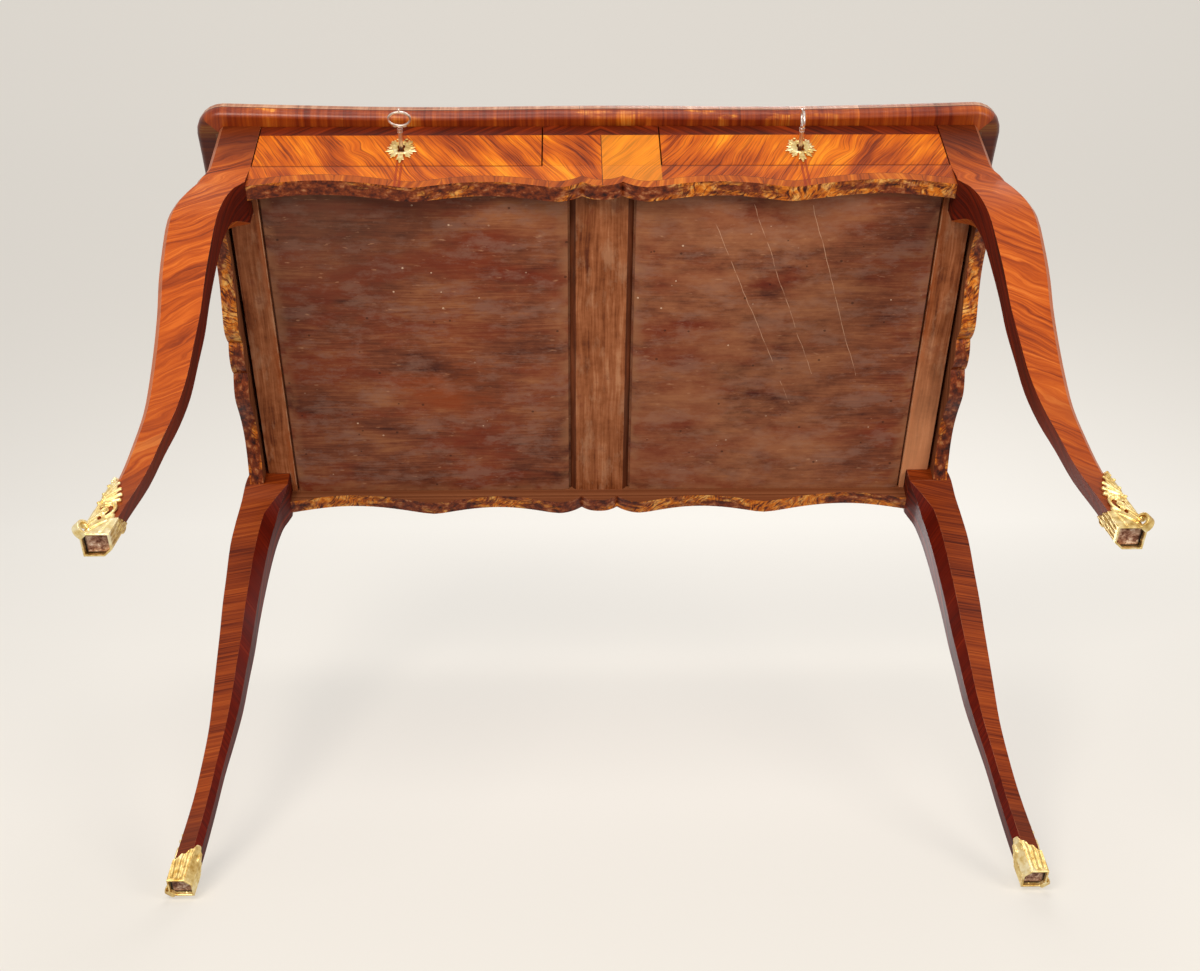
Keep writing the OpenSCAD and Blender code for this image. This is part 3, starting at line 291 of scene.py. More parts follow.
# %% Streaks, fibres and patches
class Figure:
    """The figure of one board or veneer, for a place across and along its grain in metres."""

    def __init__(self, finish, across, along, seed, swirl=0.03, streaks_per_metre=130, stretch=0.03):
        slow = finish.noise(finish.join(across * 9, along * 4, seed), detail=2)
        ripple = finish.noise(finish.join(across * 55, along * 22, seed + 1), detail=2)
        bent = across + (slow - 0.5) * swirl + (ripple - 0.5) * swirl * 0.12
        rate = streaks_per_metre
        self.streaks = finish.noise(finish.join(bent * rate, along * rate * stretch, seed + 3),
                                    detail=5, roughness=0.62)
        self.lines = finish.noise(finish.join(bent * rate * 2.6, along * rate * stretch * 1.7, seed + 5),
                                  detail=3, roughness=0.55)
        self.fibres = finish.noise(finish.join(bent * 1500, along * 45, seed + 7), detail=2)
        self.patches = finish.noise(finish.join(bent * 24, along * 5, seed + 9), detail=2)
        self.tone = (self.streaks * 0.45 + self.lines * 0.27 + self.patches * 0.28).between(0.35, 0.65)


def turned_place(sideways, upwards, angle):
    """Across and along for grain that leans by an angle in degrees from the sideways direction."""
    c, s = math.cos(math.radians(angle)), math.sin(math.radians(angle))
    return upwards * c - sideways * s, sideways * c + upwards * s


def worn_edges_and_highlight(finish, colour, bare, amount):
    """Rubbed varnish on the arrises, patchy, on the edge faces that the dressing marks as worn. Where
    the colour given is pale, it is also a painted highlight along the arris.
    """
    patchy = finish.noise(finish.place, 60, 3).between(0.36, 0.58)
    return finish.mix(finish.attribute("worn") * patchy * amount, bare, colour)


print("grain figure: patches, streaks, lines and fibres")

# %% [markdown]
# ## Veneer of the drawers
# The drawer fronts and the stile between them wear one sheet of orange wood with dark red lines. It
# was opened like a book, so the right half mirrors the left, and a seam shows in the middle. The
# distance from the middle, without its sign, gives that mirror for free. The stile's right half is
# more golden than its left. A very dark strip runs across the top: a crossband, darkened further by
# painted shadow from the overhang of the top. Two red runs of varnish hang below each keyhole,
# where the key's plate was polished.

# %% Paint the field veneer
LONG_GRAIN_ANGLE = 62
DRAWER_TOP_STRIP = 0.7220
STILE_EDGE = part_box("centre_stile")[1].x
HALF_SEAM = 0.00045
KNOT_PLACE, KNOT_SIZE = (0.292, 0.686), 0.034
plate_lo, plate_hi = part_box("left_escutcheon")
key_side = -(plate_lo.x + plate_hi.x) / 2
RUN_TOP = 0.664
RUN_OFFSET = 0.0026


def varnish_runs(finish):
    """Two thin runs that hang below each keyhole plate."""
    off = abs(abs(finish.side - key_side) - RUN_OFFSET)
    wobble = finish.noise(finish.join(finish.x * 3, finish.z * 60), detail=2) * 0.0016
    return (off + wobble).below(0.0022) * finish.z.below(RUN_TOP)


def round_spot(finish, run, height, place, size):
    """1 at a place on the face, falling to 0 at a distance of size."""
    off = finish.node("ShaderNodeVectorMath", {"operation": "DISTANCE"}, {
        0: finish.join(run, height), 1: (*place, 0.0)})
    return Amount(finish, off.outputs["Value"]).between(size, 0.0)


def field_veneer(finish):
    """The book-matched wood of the whole front and its figure."""
    across, along = turned_place(finish.side, finish.z, LONG_GRAIN_ANGLE)
    knot = round_spot(finish, finish.side, finish.z, KNOT_PLACE, KNOT_SIZE)
    across = across + knot * knot * 0.011
    half = finish.x.above(0.0)
    figure = Figure(finish, across, along, half * 2.0 + 1.0, swirl=0.05, streaks_per_metre=210)
    sweep = finish.noise(finish.join(across * 30, along * 9, half + 60.0), detail=2).between(0.36, 0.64)
    wood = finish.ramp(figure.tone * 0.6 + sweep * 0.4, (0.08, "#642004"), (0.25, "#933a05"),
                       (0.45, "#bb5507"), (0.65, "#d56d08"), (0.9, "#ec951c"))
    dark_lines = figure.lines.between(0.47, 0.38) * (1 - sweep * 0.6)
    wood = finish.mix(dark_lines * 0.75, "#541a03", wood)
    golden = half * finish.x.below(STILE_EDGE) * finish.y.below(0.0)
    wood = finish.mix(golden * 0.4, "#f4a02a", wood)
    seam = finish.side.below(HALF_SEAM)
    return finish.mix(seam, "#3c1405", wood), figure


def drawer_veneer():
    finish = Finish("drawer_veneer", coat=0.04, coat_roughness=0.15, shine=0.12)
    wood, figure = field_veneer(finish)
    cross = Figure(finish, finish.side + finish.z * 1.2, finish.z - finish.side * 0.9, 21.0,
                   swirl=0.02, streaks_per_metre=150)
    # Painted shadow: the crossband at the top is painted very dark, partly its own wood and partly the
    # shadow of the top's overhang.
    strip = finish.ramp(cross.tone, (0.0, "#1f0601"), (0.4, "#4a1203"), (0.7, "#6e2205"),
                        (1.0, "#96390b"))
    wood = finish.mix(finish.z.above(DRAWER_TOP_STRIP), strip, wood)
    wood = finish.mix(varnish_runs(finish) * 0.7, "#8a2404", wood)
    wood = worn_edges_and_highlight(finish, wood, "#6b2a10", 0.8)
    rough = figure.fibres * 0.2 + 0.3
    return finish.done(wood, rough, figure.fibres + figure.streaks, 0.00012, 0.35)


drawer_veneer_finish = drawer_veneer()
print("drawer veneer: grain leans", LONG_GRAIN_ANGLE, "degrees")

# %% [markdown]
# ## Veneer of the aprons
# The apron is the shaped board under the drawers. The drawer's veneer runs on down its face as far as
# a narrow crossband, whose short pieces follow the shaped edge with their grain square to it. The
# band is drawn from an attribute that says how far each place lies above the edge, which the
# dressing of the aprons writes below. The lower edge itself is dark, shiny and chipped, with bare
# orange wood showing through the old varnish.

# %% Paint the aprons
BAND_WIDTH = 0.0135
BAND_PIECE = 0.062
DRAWER_SEAM = 0.0022
CARCASS_MIDDLE = (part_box("front_apron")[0].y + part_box("rear_apron")[1].y) / 2


def chipped_edge(finish):
    """Dark varnish on the end grain of the shaped edges, flaked off where diagonal streaks show."""
    on_side = finish.side.above(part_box("right_apron")[0].x)
    run = finish.pick(on_side, finish.y, finish.x)
    depth = finish.pick(on_side, finish.side, finish.y)
    flakes = finish.noise(finish.place, 75, 5, 0.66, 0.5)
    zone = finish.noise(finish.join(run * 10, depth * 34, 5.0), detail=5, roughness=0.66)
    zone = zone + finish.x.between(-0.25, 0.3) * (1 - on_side) * 0.03 - on_side * 0.012
    zone = zone.between(0.49, 0.565)
    drift = finish.noise(finish.join(run * 22, depth * 22, 8.0), detail=2) * 0.05
    slant = finish.noise(finish.join((run * 0.8 + depth * 0.6 + drift) * 330,
                                     (run * 0.6 - depth * 0.8) * 70), detail=3, roughness=0.6)
    bare = zone * slant.between(0.4, 0.54)
    glaze = finish.noise(finish.join(run * 95, depth * 130, 3.0), detail=4, roughness=0.6)
    dark = finish.ramp(glaze * 0.65 + flakes * 0.35, (0.37, "#2c0c04"), (0.46, "#5e220a"),
                       (0.54, "#883c16"), (0.65, "#c08054"))
    chips = finish.ramp(flakes, (0.34, "#a8460a"), (0.5, "#e88422"), (0.64, "#fcc26c"))
    return finish.mix(bare, chips, dark), bare, flakes


def crossband(finish, run):
    """Short pieces of veneer with their grain square to the edge, each leaning its own way."""
    piece = (abs(run) / BAND_PIECE).sum("FLOOR")
    lean = (piece * 0.37).sum("FRACT") * 0.9 - 0.45
    figure = Figure(finish, run + finish.z * lean, finish.z * 0.6, piece * 3.7 + 40.0,
                    swirl=0.02, streaks_per_metre=110)
    return finish.ramp(figure.tone, (0.0, "#571f05"), (0.3, "#8a3a07"), (0.6, "#b0540e"),
                       (0.9, "#d57c22"))


def banded(finish, wood, run):
    """The face of an apron with its crossband, the joints of the band and the line above it."""
    height = finish.attribute("above_edge")
    in_band = height.below(BAND_WIDTH)
    joint = (abs(run) / BAND_PIECE).sum("FRACT").below(0.009) * in_band
    inner_line = abs(height - BAND_WIDTH).below(0.00035)
    wood = finish.mix(in_band, crossband(finish, run), wood)
    return finish.mix((joint + inner_line).sum("MINIMUM", 1.0) * 0.8, "#3a1608", wood)


def apron_veneer():
    finish = Finish("apron_veneer", coat=0.05, coat_roughness=0.15, shine=0.2)
    wood, figure = field_veneer(finish)
    nx, ny, nz = finish.nx, finish.ny, finish.nz
    end_face = abs(nx).above(0.75)
    side_figure = Figure(finish, finish.y * 0.45 + finish.z, finish.y, 60.0)
    side_wood = finish.ramp(side_figure.tone, (0.0, "#4a1502"), (0.4, "#8f3a0a"), (0.8, "#bd6214"))
    wood = finish.mix(end_face, side_wood, wood)
    wood = banded(finish, wood, finish.pick(end_face, finish.y, finish.x))
    seam = finish.z.above(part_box("front_apron")[1].z - DRAWER_SEAM) * (1 - end_face)
    wood = finish.mix(seam * finish.side.above(STILE_EDGE) * 0.55, "#4a1a06", wood)
    wood = finish.mix(varnish_runs(finish) * ny.below(-0.5) * 0.7, "#8a2404", wood)
    under = nz.below(-0.35)
    edge, bare, flakes = chipped_edge(finish)
    wood = finish.mix(under, edge, wood)
    wood = worn_edges_and_highlight(finish, wood, "#d89a64", 0.55)
    inside = (nx * finish.x + ny * (finish.y - CARCASS_MIDDLE)).below(-0.1)
    raw = finish.ramp(side_figure.tone, (0.0, "#4a2210"), (0.5, "#7d472b"), (1.0, "#a06a48"))
    wood = finish.mix(inside * (1 - under), raw, wood)
    rough = finish.pick(under, flakes * 0.3 + bare * 0.2 + 0.1, figure.fibres * 0.2 + 0.32)
    bump = figure.fibres * 0.4 + bare * under * -0.9 + flakes * under * 0.4
    return finish.done(wood, rough, bump, 0.0004, 0.6)


apron_veneer_finish = apron_veneer()
print("crossband:", BAND_WIDTH / MM, "mm wide, in pieces of", BAND_PIECE / MM, "mm")

# %% [markdown]
# ## Veneer of the legs
# A curved leg is covered with strips that are bent round it. On the front of the front legs the
# grain climbs towards the middle of the table. On the sides it runs dark and nearly upright. The
# inner sides are darkest, partly dark red wood and partly painted shade, and the outer chamfers are
# painted pale as a highlight. The front of the rear legs has short bands that lie across. The
# direction that a surface faces picks the grain: the Normal output of Texture Coordinate is fixed
# to the object, not to the camera.

# %% Paint the legs
FRONT_LEG_ANGLE = 140
LEG_SPLIT_Y = 0.0
# The middle of a foot, as distances from the middle of the table along x and y.
FOOT_CENTRE = (0.4581, 0.24805)


def leg_end_grain(finish):
    """The sawn foot of the leg inside its shoe: pale worn wood whose palest specks are painted
    highlight, with a dark rim of painted shade where the shoe meets it.
    """
    worn = finish.noise(finish.place, 190, 4, 0.62, 0.6)
    # Partly painted highlight: the near-white end of this ramp stands for highlights on the sawn wood.
    bare = finish.ramp(worn, (0.36, "#64382a"), (0.46, "#a87660"), (0.56, "#d8ae94"), (0.66, "#ffe9d6"))
    off_x = abs(finish.side - FOOT_CENTRE[0])
    off_y = abs(abs(finish.y - CARCASS_MIDDLE) - FOOT_CENTRE[1])
    # Painted shade: a dark rim round the sawn end, in the gap between the wood and the shoe.
    rim = off_x.sum("MAXIMUM", off_y).between(0.0088, 0.0106)
    return finish.mix(rim, "#1c0d08", bare)


def front_leg_wood(finish):
    """Grain that climbs towards the middle, dark at the top, duller towards the foot."""
    half = finish.x.above(0.0)
    across, along = turned_place(finish.side, finish.z, FRONT_LEG_ANGLE)
    figure = Figure(finish, across, along, half * 4.0 + 12.0, swirl=0.12, streaks_per_metre=135,
                    stretch=0.045)
    wood = finish.ramp(figure.tone, (0.0, "#4c1604"), (0.2, "#7c2d05"), (0.45, "#a8480c"),
                       (0.7, "#c25f1a"), (0.95, "#dc8138"))
    wood = finish.mix(figure.patches.between(0.6, 0.74) * 0.5, "#6b2a1c", wood)
    dark = finish.ramp(figure.tone, (0.0, "#260901"), (1.0, "#662006"))
    return finish.mix(finish.z.between(0.635, 0.71) * 0.9, dark, wood), figure


def rear_leg_wood(finish):
    """Narrow bands of grain that lie across the leg."""
    figure = Figure(finish, finish.z + finish.side * 0.25, finish.side * 0.6,
                    finish.x.above(0.0) + 30.0, swirl=0.008, streaks_per_metre=260)
    return finish.ramp(figure.tone, (0.0, "#2c0a02"), (0.25, "#5a1b05"), (0.5, "#83340e"),
                       (0.8, "#9c4616"), (1.0, "#b45f26"))


def leg_veneer():
    finish = Finish("leg_veneer", coat=0.04, coat_roughness=0.25, shine=0.15)
    nx, ny, nz = finish.nx, finish.ny, finish.nz
    faces_sideways = abs(nx).above(abs(ny) * 1.05)
    outward = (nx * finish.x).above(0.0)
    at_rear = finish.y.above(LEG_SPLIT_Y)
    front_wood, front = front_leg_wood(finish)
    upright = Figure(finish, finish.y + finish.z * 0.12, finish.z, 50.0, swirl=0.02,
                     streaks_per_metre=150)
    # Painted shade: the inner sides face the middle of the table, and their dark red wood is painted
    # darker still for the shade that they lie in.
    inner_wood_and_shade = finish.ramp(upright.tone, (0.0, "#1f0401"), (0.35, "#430b02"), (0.65, "#6a1903"),
                             (1.0, "#8c300a"))
    outer_wood = finish.ramp(upright.tone, (0.0, "#5a2008"), (0.4, "#8a3a12"), (0.9, "#b5662e"))
    wood = finish.mix(at_rear, rear_leg_wood(finish), front_wood)
    wood = finish.mix(faces_sideways, finish.mix(outward, outer_wood, inner_wood_and_shade), wood)
    slanted = abs(abs(nx) - abs(ny)).below(0.35)
    stripes = Figure(finish, finish.z - finish.side * 0.9, finish.side, 90.0, streaks_per_metre=230)
    dark_red = finish.ramp(stripes.tone, (0.0, "#2a0501"), (0.5, "#5c0f02"), (1.0, "#86260a"))
    low = finish.z.between(0.34, 0.12) * (1 - at_rear)
    wood = finish.mix(low * 0.4, "#7a300c", wood)
    # Partly painted shade: the fronts of the legs are darker just above the shoes, for duller wood and
    # for the shade that shows through the shoe's holes.
    shoe_shade_and_dull_wood = finish.z.between(0.11, 0.06) * (1 - faces_sideways)
    wood = finish.mix(shoe_shade_and_dull_wood * 0.55, "#5c2a1a", wood)
    # Painted highlight: the outer chamfer of each leg is painted pale, as if it caught the light, and
    # paler on the front legs than on the rear.
    wood = finish.mix(slanted * outward * 0.6, finish.mix(at_rear, "#8a3414", "#b5704f"), wood)
    wood = finish.mix(slanted * (1 - outward) * at_rear, dark_red, wood)
    wood = worn_edges_and_highlight(finish, wood, "#cf9070", 0.7)
    sawn = nz.below(-0.8) * finish.z.below(0.012)
    wood = finish.mix(sawn, leg_end_grain(finish), wood)
    rough = front.fibres * 0.2 + 0.34 + faces_sideways * 0.14
    bump = finish.pick(faces_sideways, upright.fibres, front.fibres)
    return finish.done(wood, rough, bump + front.streaks * 0.5, 0.00015, 0.4)


leg_veneer_finish = leg_veneer()
print("front leg grain leans", 180 - FRONT_LEG_ANGLE, "degrees from level")

# %% [markdown]
# ## The edge and border of the top
# The edge of the top is a thin pinkish strip, a fine dark line under it, and a rounded band of dark
# wood below, patched with short pieces of orange grain. A pale line of painted highlight runs along
# the foot of the strip, and on the two ends the band is painted nearly black just under the line, as
# shadow. Height alone tells these apart, so no extra pieces are needed. Above, a border with its
# grain square to the edge goes round the leather. Below, inside the aprons, the wood is raw.

# %% Paint the top board
STRIP_LOW = 0.7578
LINE_LOW = 0.7566
BLOCK_LENGTH = 0.085
# The underside is raw further in than this from the ends and from the long sides.
RAW_FROM = (0.024, 0.03)


def from_rim(finish, node):
    """How far a place on a flat piece lies in from the ends and from the long sides."""
    lo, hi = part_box(node)
    from_end = (hi.x - lo.x) / 2 - finish.side
    from_long = (hi.y - lo.y) / 2 - abs(finish.y - (lo.y + hi.y) / 2)
    return from_end, from_long


def edge_band(finish, run, across, tint, warm, on_end):
    """The rounded band: dark wood with golden patches, and painted shadow that makes it nearly black at
    the top of the ends.
    """
    dark = finish.ramp(across.tone * 0.42 + warm * 0.58, (0.16, "#3a0d02"), (0.4, "#742508"),
                       (0.58, "#97400e"), (0.76, "#c0641c"))
    golden = finish.ramp(across.lines, (0.34, "#8c3406"), (0.5, "#dd7c16"), (0.64, "#f4b04a"))
    band = finish.mix(warm.between(0.53, 0.64) * tint.between(0.42, 0.6), golden, dark)
    # Painted shadow: on the ends the band darkens to nearly black just under the line.
    return finish.mix(on_end * finish.z.between(0.757, 0.748) * 0.75, "#2c0c04", band)


def top_veneer():
    finish = Finish("top_veneer", coat=0.1, coat_roughness=0.3)
    from_end, from_long = from_rim(finish, "top_board")
    on_end = from_end.below(from_long)
    run = finish.pick(on_end, finish.y, finish.x)
    depth_in = finish.pick(on_end, from_end, from_long)
    block = run / BLOCK_LENGTH + 0.3
    number = block.sum("FLOOR")
    across = Figure(finish, run, depth_in + finish.z, number * 5.1, swirl=0.02, streaks_per_metre=140)
    tint = finish.noise(finish.join(number * 7.31, on_end), detail=0)
    warm = finish.noise(finish.join(run * 16, finish.z * 70, 3.0), detail=4, roughness=0.6)
    strip = finish.ramp(across.tone * 0.5 + tint * 0.5, (0.2, "#74402a"), (0.5, "#a8694a"),
                        (0.8, "#d6a684"))
    border = finish.ramp(across.tone, (0.0, "#4c1c08"), (0.4, "#8b3d12"), (0.8, "#b9622a"))
    on_strip = finish.z.above(STRIP_LOW)
    face_up = finish.nz.above(0.7)
    wood = finish.mix(on_strip, strip, edge_band(finish, run, across, tint, warm, on_end))
    wood = finish.mix(face_up, border, wood)
    wood = finish.mix(block.sum("FRACT").below(0.007) * on_strip * 0.8, "#2c1208", wood)
    line = finish.z.below(STRIP_LOW) * finish.z.above(LINE_LOW)
    wood = finish.mix(line, "#2c0f05", wood)
    # Painted highlight: a pale line along the foot of the strip, just above the dark line.
    strip_highlight = finish.z.between(STRIP_LOW, STRIP_LOW + 0.0016) * finish.z.below(STRIP_LOW + 0.0018)
    wood = finish.mix(strip_highlight * (1 - face_up) * 0.35, "#f0cdb0", wood)
    under_wood = Figure(finish, finish.y, finish.x * 0.6, 70.0, streaks_per_metre=80)
    raw = finish.ramp(under_wood.tone, (0.0, "#3a2014"), (0.5, "#5e3a26"), (1.0, "#7d553a"))
    is_raw = finish.nz.below(-0.8) * from_end.above(RAW_FROM[0]) * from_long.above(RAW_FROM[1])
    wood = finish.mix(is_raw, raw, wood)
    wood = worn_edges_and_highlight(finish, wood, "#e8c4ac", 0.7)
    rough = across.fibres * 0.25 + 0.24
    return finish.done(wood, rough, across.fibres + warm, 0.00025, 0.5)


top_veneer_finish = top_veneer()
print("top strip starts at", STRIP_LOW, "m, its dark line at", LINE_LOW, "m")

# %% [markdown]
# ## Stained boards of the underside
# Nobody was meant to see the underside, so its boards were stained brown and never polished. The two
# wide panels have their grain from end to end, with grey and reddish patches, pale scratches and
# specks of old glue. Such marks could be drawn on an image, but then they blur when seen close. So
# each is a rule: a scratch is a short distance from a line, broken up with noise.

# %% Scratches and the panels
# All places here are (x, y) in metres on the underside.
DULL_PATCH = (-0.33, -0.19)
WARM_PATCH = (-0.195, 0.07)
SCRATCH_HALF_WIDTH = 0.0004
SCRATCHES = (((0.1331, -0.1725), (0.2185, 0.0395)), ((0.2295, 0.067), (0.2442, 0.1038)),
             ((0.1792, -0.1933), (0.2681, 0.0564)), ((0.2489, -0.1917), (0.3248, 0.0594)))
# The part of a panel that its frame leaves free: its middle, then half its size.
FREE_MIDDLE = (0.2205, CARCASS_MIDDLE)
FREE_HALF = (0.1685, 0.222)


def scratch(finish, start, end):
    """A broken pale line on the underside from start to end."""
    (x0, y0), (x1, y1) = start, end
    length = math.hypot(x1 - x0, y1 - y0)
    ux, uy = (x1 - x0) / length, (y1 - y0) / length
    along = (finish.x - x0) * ux + (finish.y - y0) * uy
    wander = (finish.noise(finish.join(along * 22, x0 * 90), detail=2) - 0.5) * 0.006
    off = abs((finish.x - x0) * uy - (finish.y - y0) * ux + wander)
    broken = finish.noise(finish.join(along * 70, x0 * 50, 2.0), detail=3).between(0.36, 0.56)
    return off.below(SCRATCH_HALF_WIDTH) * along.above(0.0) * along.below(length) * broken


def panel_wood(finish, figure, grey):
    """Brown stain in clouds, with red, grey, pale, dull and warm patches."""
    cloud = finish.noise(finish.join(finish.x * 8, finish.y * 15, 4.0), detail=6, roughness=0.68)
    red = finish.noise(finish.join(finish.x * 5, finish.y * 14, 9.0), detail=5, roughness=0.66)
    wood = finish.ramp(figure.tone * 0.24 + cloud * 0.76, (0.34, "#482016"), (0.43, "#6c3824"),
                       (0.52, "#85492f"), (0.64, "#a36642"))
    wood = finish.mix(red.between(0.47, 0.6) * 0.65, "#7c2a12", wood)
    wood = finish.mix(grey.between(0.49, 0.61) * 0.5, "#987060", wood)
    pale = finish.x.between(-0.12, 0.16) * finish.x.between(0.36, 0.24) * cloud.between(0.36, 0.6)
    wood = finish.mix(pale * 0.5, "#bd8059", wood)
    dull = finish.x.below(0.0) * round_spot(finish, finish.x, finish.y, DULL_PATCH, 0.2)
    wood = finish.mix(dull * 0.6, "#553a2c", wood)
    warm = round_spot(finish, finish.x, finish.y, WARM_PATCH, 0.085) * red.between(0.4, 0.56)
    return finish.mix(warm * 0.6, "#ad5626", wood)


def marked(finish, wood):
    """The wood with pale rims, partly rubbed stain and partly painted highlight, and with scratches,
    specks of glue, scuffs and dents.
    """
    past_x = abs(finish.side - FREE_MIDDLE[0]) - FREE_HALF[0]
    past_y = abs(finish.y - FREE_MIDDLE[1]) - FREE_HALF[1]
    # Partly painted highlight: a pale, patchy rim where each panel meets its frame.
    rim = past_x.sum("MAXIMUM", past_y).between(-0.004, 0.009)
    wood = finish.mix(rim * finish.noise(finish.place, 45, 5).between(0.42, 0.56) * 0.6, "#a5714f", wood)
    scratches = scratch(finish, *SCRATCHES[0])
    for start, end in SCRATCHES[1:]:
        scratches = scratches.sum("MAXIMUM", scratch(finish, start, end))
    wood = finish.mix(scratches * 0.7, "#d9ab8c", wood)
    speck_zone = finish.noise(finish.place, 9, 2).between(0.48, 0.58)
    specks = finish.cells(finish.place, 48).below(0.06) * speck_zone
    wood = finish.mix(specks * 0.85, "#e6c3a6", wood)
    scuffs = finish.noise(finish.join(finish.x * 60, finish.y * 190, 3.0), detail=3).between(0.66, 0.74)
    wood = finish.mix(scuffs * 0.5, "#c8936f", wood)
    dents = finish.cells(finish.join(finish.x, finish.y, 7.0), 34).below(0.06)
    return finish.mix(dents * 0.6, "#2a120a", wood)


def raw_panel():
    finish = Finish("stained_panel", shine=0.2)
    half = finish.x.above(0.0)
    figure = Figure(finish, finish.y, finish.x, half * 9.0 + 80.0, swirl=0.02, streaks_per_metre=230,
                    stretch=0.06)
    grey = finish.noise(finish.join(finish.x * 16, finish.y * 34, 14.0), detail=6, roughness=0.72)
    wood = marked(finish, panel_wood(finish, figure, grey))
    bump = figure.fibres * 0.5 + figure.streaks + grey * 0.8
    return finish.done(wood, grey * 0.3 + 0.42, bump, 0.0003, 0.5)


stained_panel_finish = raw_panel()
print("panels carry", len(SCRATCHES), "scratches")

# %% [markdown]
# ## The rails and the muntin
# The frame round the panels is a muntin in the middle and a rail at each side. They took less stain
# than the panels, so they are paler and redder, with a warm core in each rail where the stain is
# rubbed away. The chamfers on the muntin are painted dark, partly darker stain and partly painted
# shade. The rear half of the right rail is painted paler still, as a pool of light falling on it.
# Three finishes would repeat each other, so one does all, and the place tells it which part it is on.

# %% Paint the rails and the muntin
RAIL_CORE = 0.402
MUNTIN_REACH = 0.05


def raw_rail():
    finish = Finish("stained_rail", shine=0.2)
    figure = Figure(finish, finish.x, finish.y, 100.0, swirl=0.02, streaks_per_metre=150, stretch=0.05)
    blots = finish.noise(finish.place, 30, 6, 0.7)
    pale = finish.noise(finish.join(finish.x * 40, finish.y * 14, 7.0), detail=5, roughness=0.68)
    wood = finish.ramp(figure.tone * 0.45 + blots * 0.55, (0.28, "#5a2610"), (0.42, "#8b4c28"),
                       (0.56, "#ab6740"), (0.7, "#c88a62"))
    wood = finish.mix(pale.between(0.53, 0.64) * 0.5, "#bd8a68", wood)
    wood = finish.mix(blots.between(0.57, 0.66) * 0.5, "#6e2810", wood)
    # Partly painted shade: the chamfers of the muntin are painted dark, for darker stain and for the
    # shade in the channel.
    chamfer_shade = abs(finish.nx).above(0.3) * finish.side.below(MUNTIN_REACH)
    dark = finish.ramp(figure.tone, (0.0, "#1f0a04"), (1.0, "#7a381a"))
    wood = finish.mix(chamfer_shade * 0.85, dark, wood)
    core = abs(finish.side - RAIL_CORE).between(0.011, 0.003) * pale.between(0.4, 0.54)
    wood = finish.mix(core * 0.65, "#a24e1c", wood)
    # Painted light: the rear half of the right rail is painted pale, as if daylight fell on it.
    painted_light_pool = finish.x.above(0.3) * finish.y.between(0.0, 0.22)
    wood = finish.mix(painted_light_pool * 0.65, "#f0a878", wood)
    wood = worn_edges_and_highlight(finish, wood, "#c89a78", 0.7)
    return finish.done(wood, blots * 0.3 + 0.42, figure.fibres * 0.6 + blots, 0.0003, 0.5)


stained_rail_finish = raw_rail()
print("the core of a rail lies", RAIL_CORE, "m from the middle")

# %% [markdown]
# ## Oak and leather
# The pieces inside are plain oak with open pores, which are short dark dashes along the grain, so
# they come from the fibres of the figure. The leather of the top has a fine net of creases and a gilt
# line with dots near its edge. Both could be carved into the mesh, but marks this shallow look the
# same as a bump, and cost no faces.

# %% Paint the oak and the leather
GILT_LINE = 0.012
GILT_DOTS = 0.019


def oak():
    finish = Finish("plain_oak")
    deep = Figure(finish, finish.x + finish.z * 0.4, finish.y, 120.0, streaks_per_metre=90)
    wood = finish.ramp(deep.tone, (0.0, "#7a5733"), (0.45, "#a37a4c"), (0.8, "#c09a68"))
    pores = deep.fibres.between(0.42, 0.34)
    wood = finish.mix(pores * 0.5, "#5a3c20", wood)
    wood = worn_edges_and_highlight(finish, wood, "#8a6a45", 0.5)
    return finish.done(wood, deep.fibres * 0.2 + 0.52, deep.fibres - pores, 0.0003, 0.4)


def leather():
    finish = Finish("brown_leather")
    from_end, from_long = from_rim(finish, "writing_leather")
    inset = from_end.sum("MINIMUM", from_long)
    wear = finish.noise(finish.place, 7, 5, 0.6)
    hide = finish.ramp(wear, (0.3, "#3a1a10"), (0.5, "#542818"), (0.7, "#6e3a22"))
    line = abs(inset - GILT_LINE).below(0.0011)
    dots = abs(inset - GILT_DOTS).below(0.0022) * finish.cells(finish.place, 380).below(0.36)
    gold = (line + dots).sum("MINIMUM", 1.0) * finish.noise(finish.place, 120, 2).between(0.34, 0.48)
    colour = finish.mix(gold * 0.85, "#c9a04a", hide)
    creases = finish.cells(finish.place, 650, "DISTANCE_TO_EDGE").between(0.0, 0.12)
    return finish.done(colour, wear * 0.2 + 0.4, creases - gold * 0.6, 0.00015, 0.5)


plain_oak_finish = oak()
leather_finish = leather()
print("the gilt line lies", GILT_LINE / MM, "mm in from the edge of the leather")

# %% [markdown]
# ## Metals
# The metals differ in colour and in how sharp their shine is. Fire-gilt bronze is pale yellow, bright
# on its high places and brown in the hollows. The lock is dull brass with iron screws, and the keys
# are grey steel, worn bright. One function with three colours, from dark to bright, makes them all.

# %% Paint the metals
def metal(name, dark, middle, bright, roughness, scale=160, pits=0.5):
    """Metal with fine tarnish: scale is how fine it is, and pits how deep it is bitten."""
    finish = Finish(name, metallic=1.0)
    tarnish = finish.noise(finish.place, scale, 4, 0.6)
    broad = finish.noise(finish.place, scale / 6, 3)
    colour = finish.ramp(tarnish * 0.5 + broad * 0.5, (0.36, dark), (0.5, middle), (0.62, bright))
    colour = finish.mix(finish.attribute("worn") * 0.6, bright, colour)
    grain = finish.noise(finish.place, scale * 9, 2)
    return finish.done(colour, tarnish * 0.25 + roughness, grain + tarnish, 0.00012, pits)


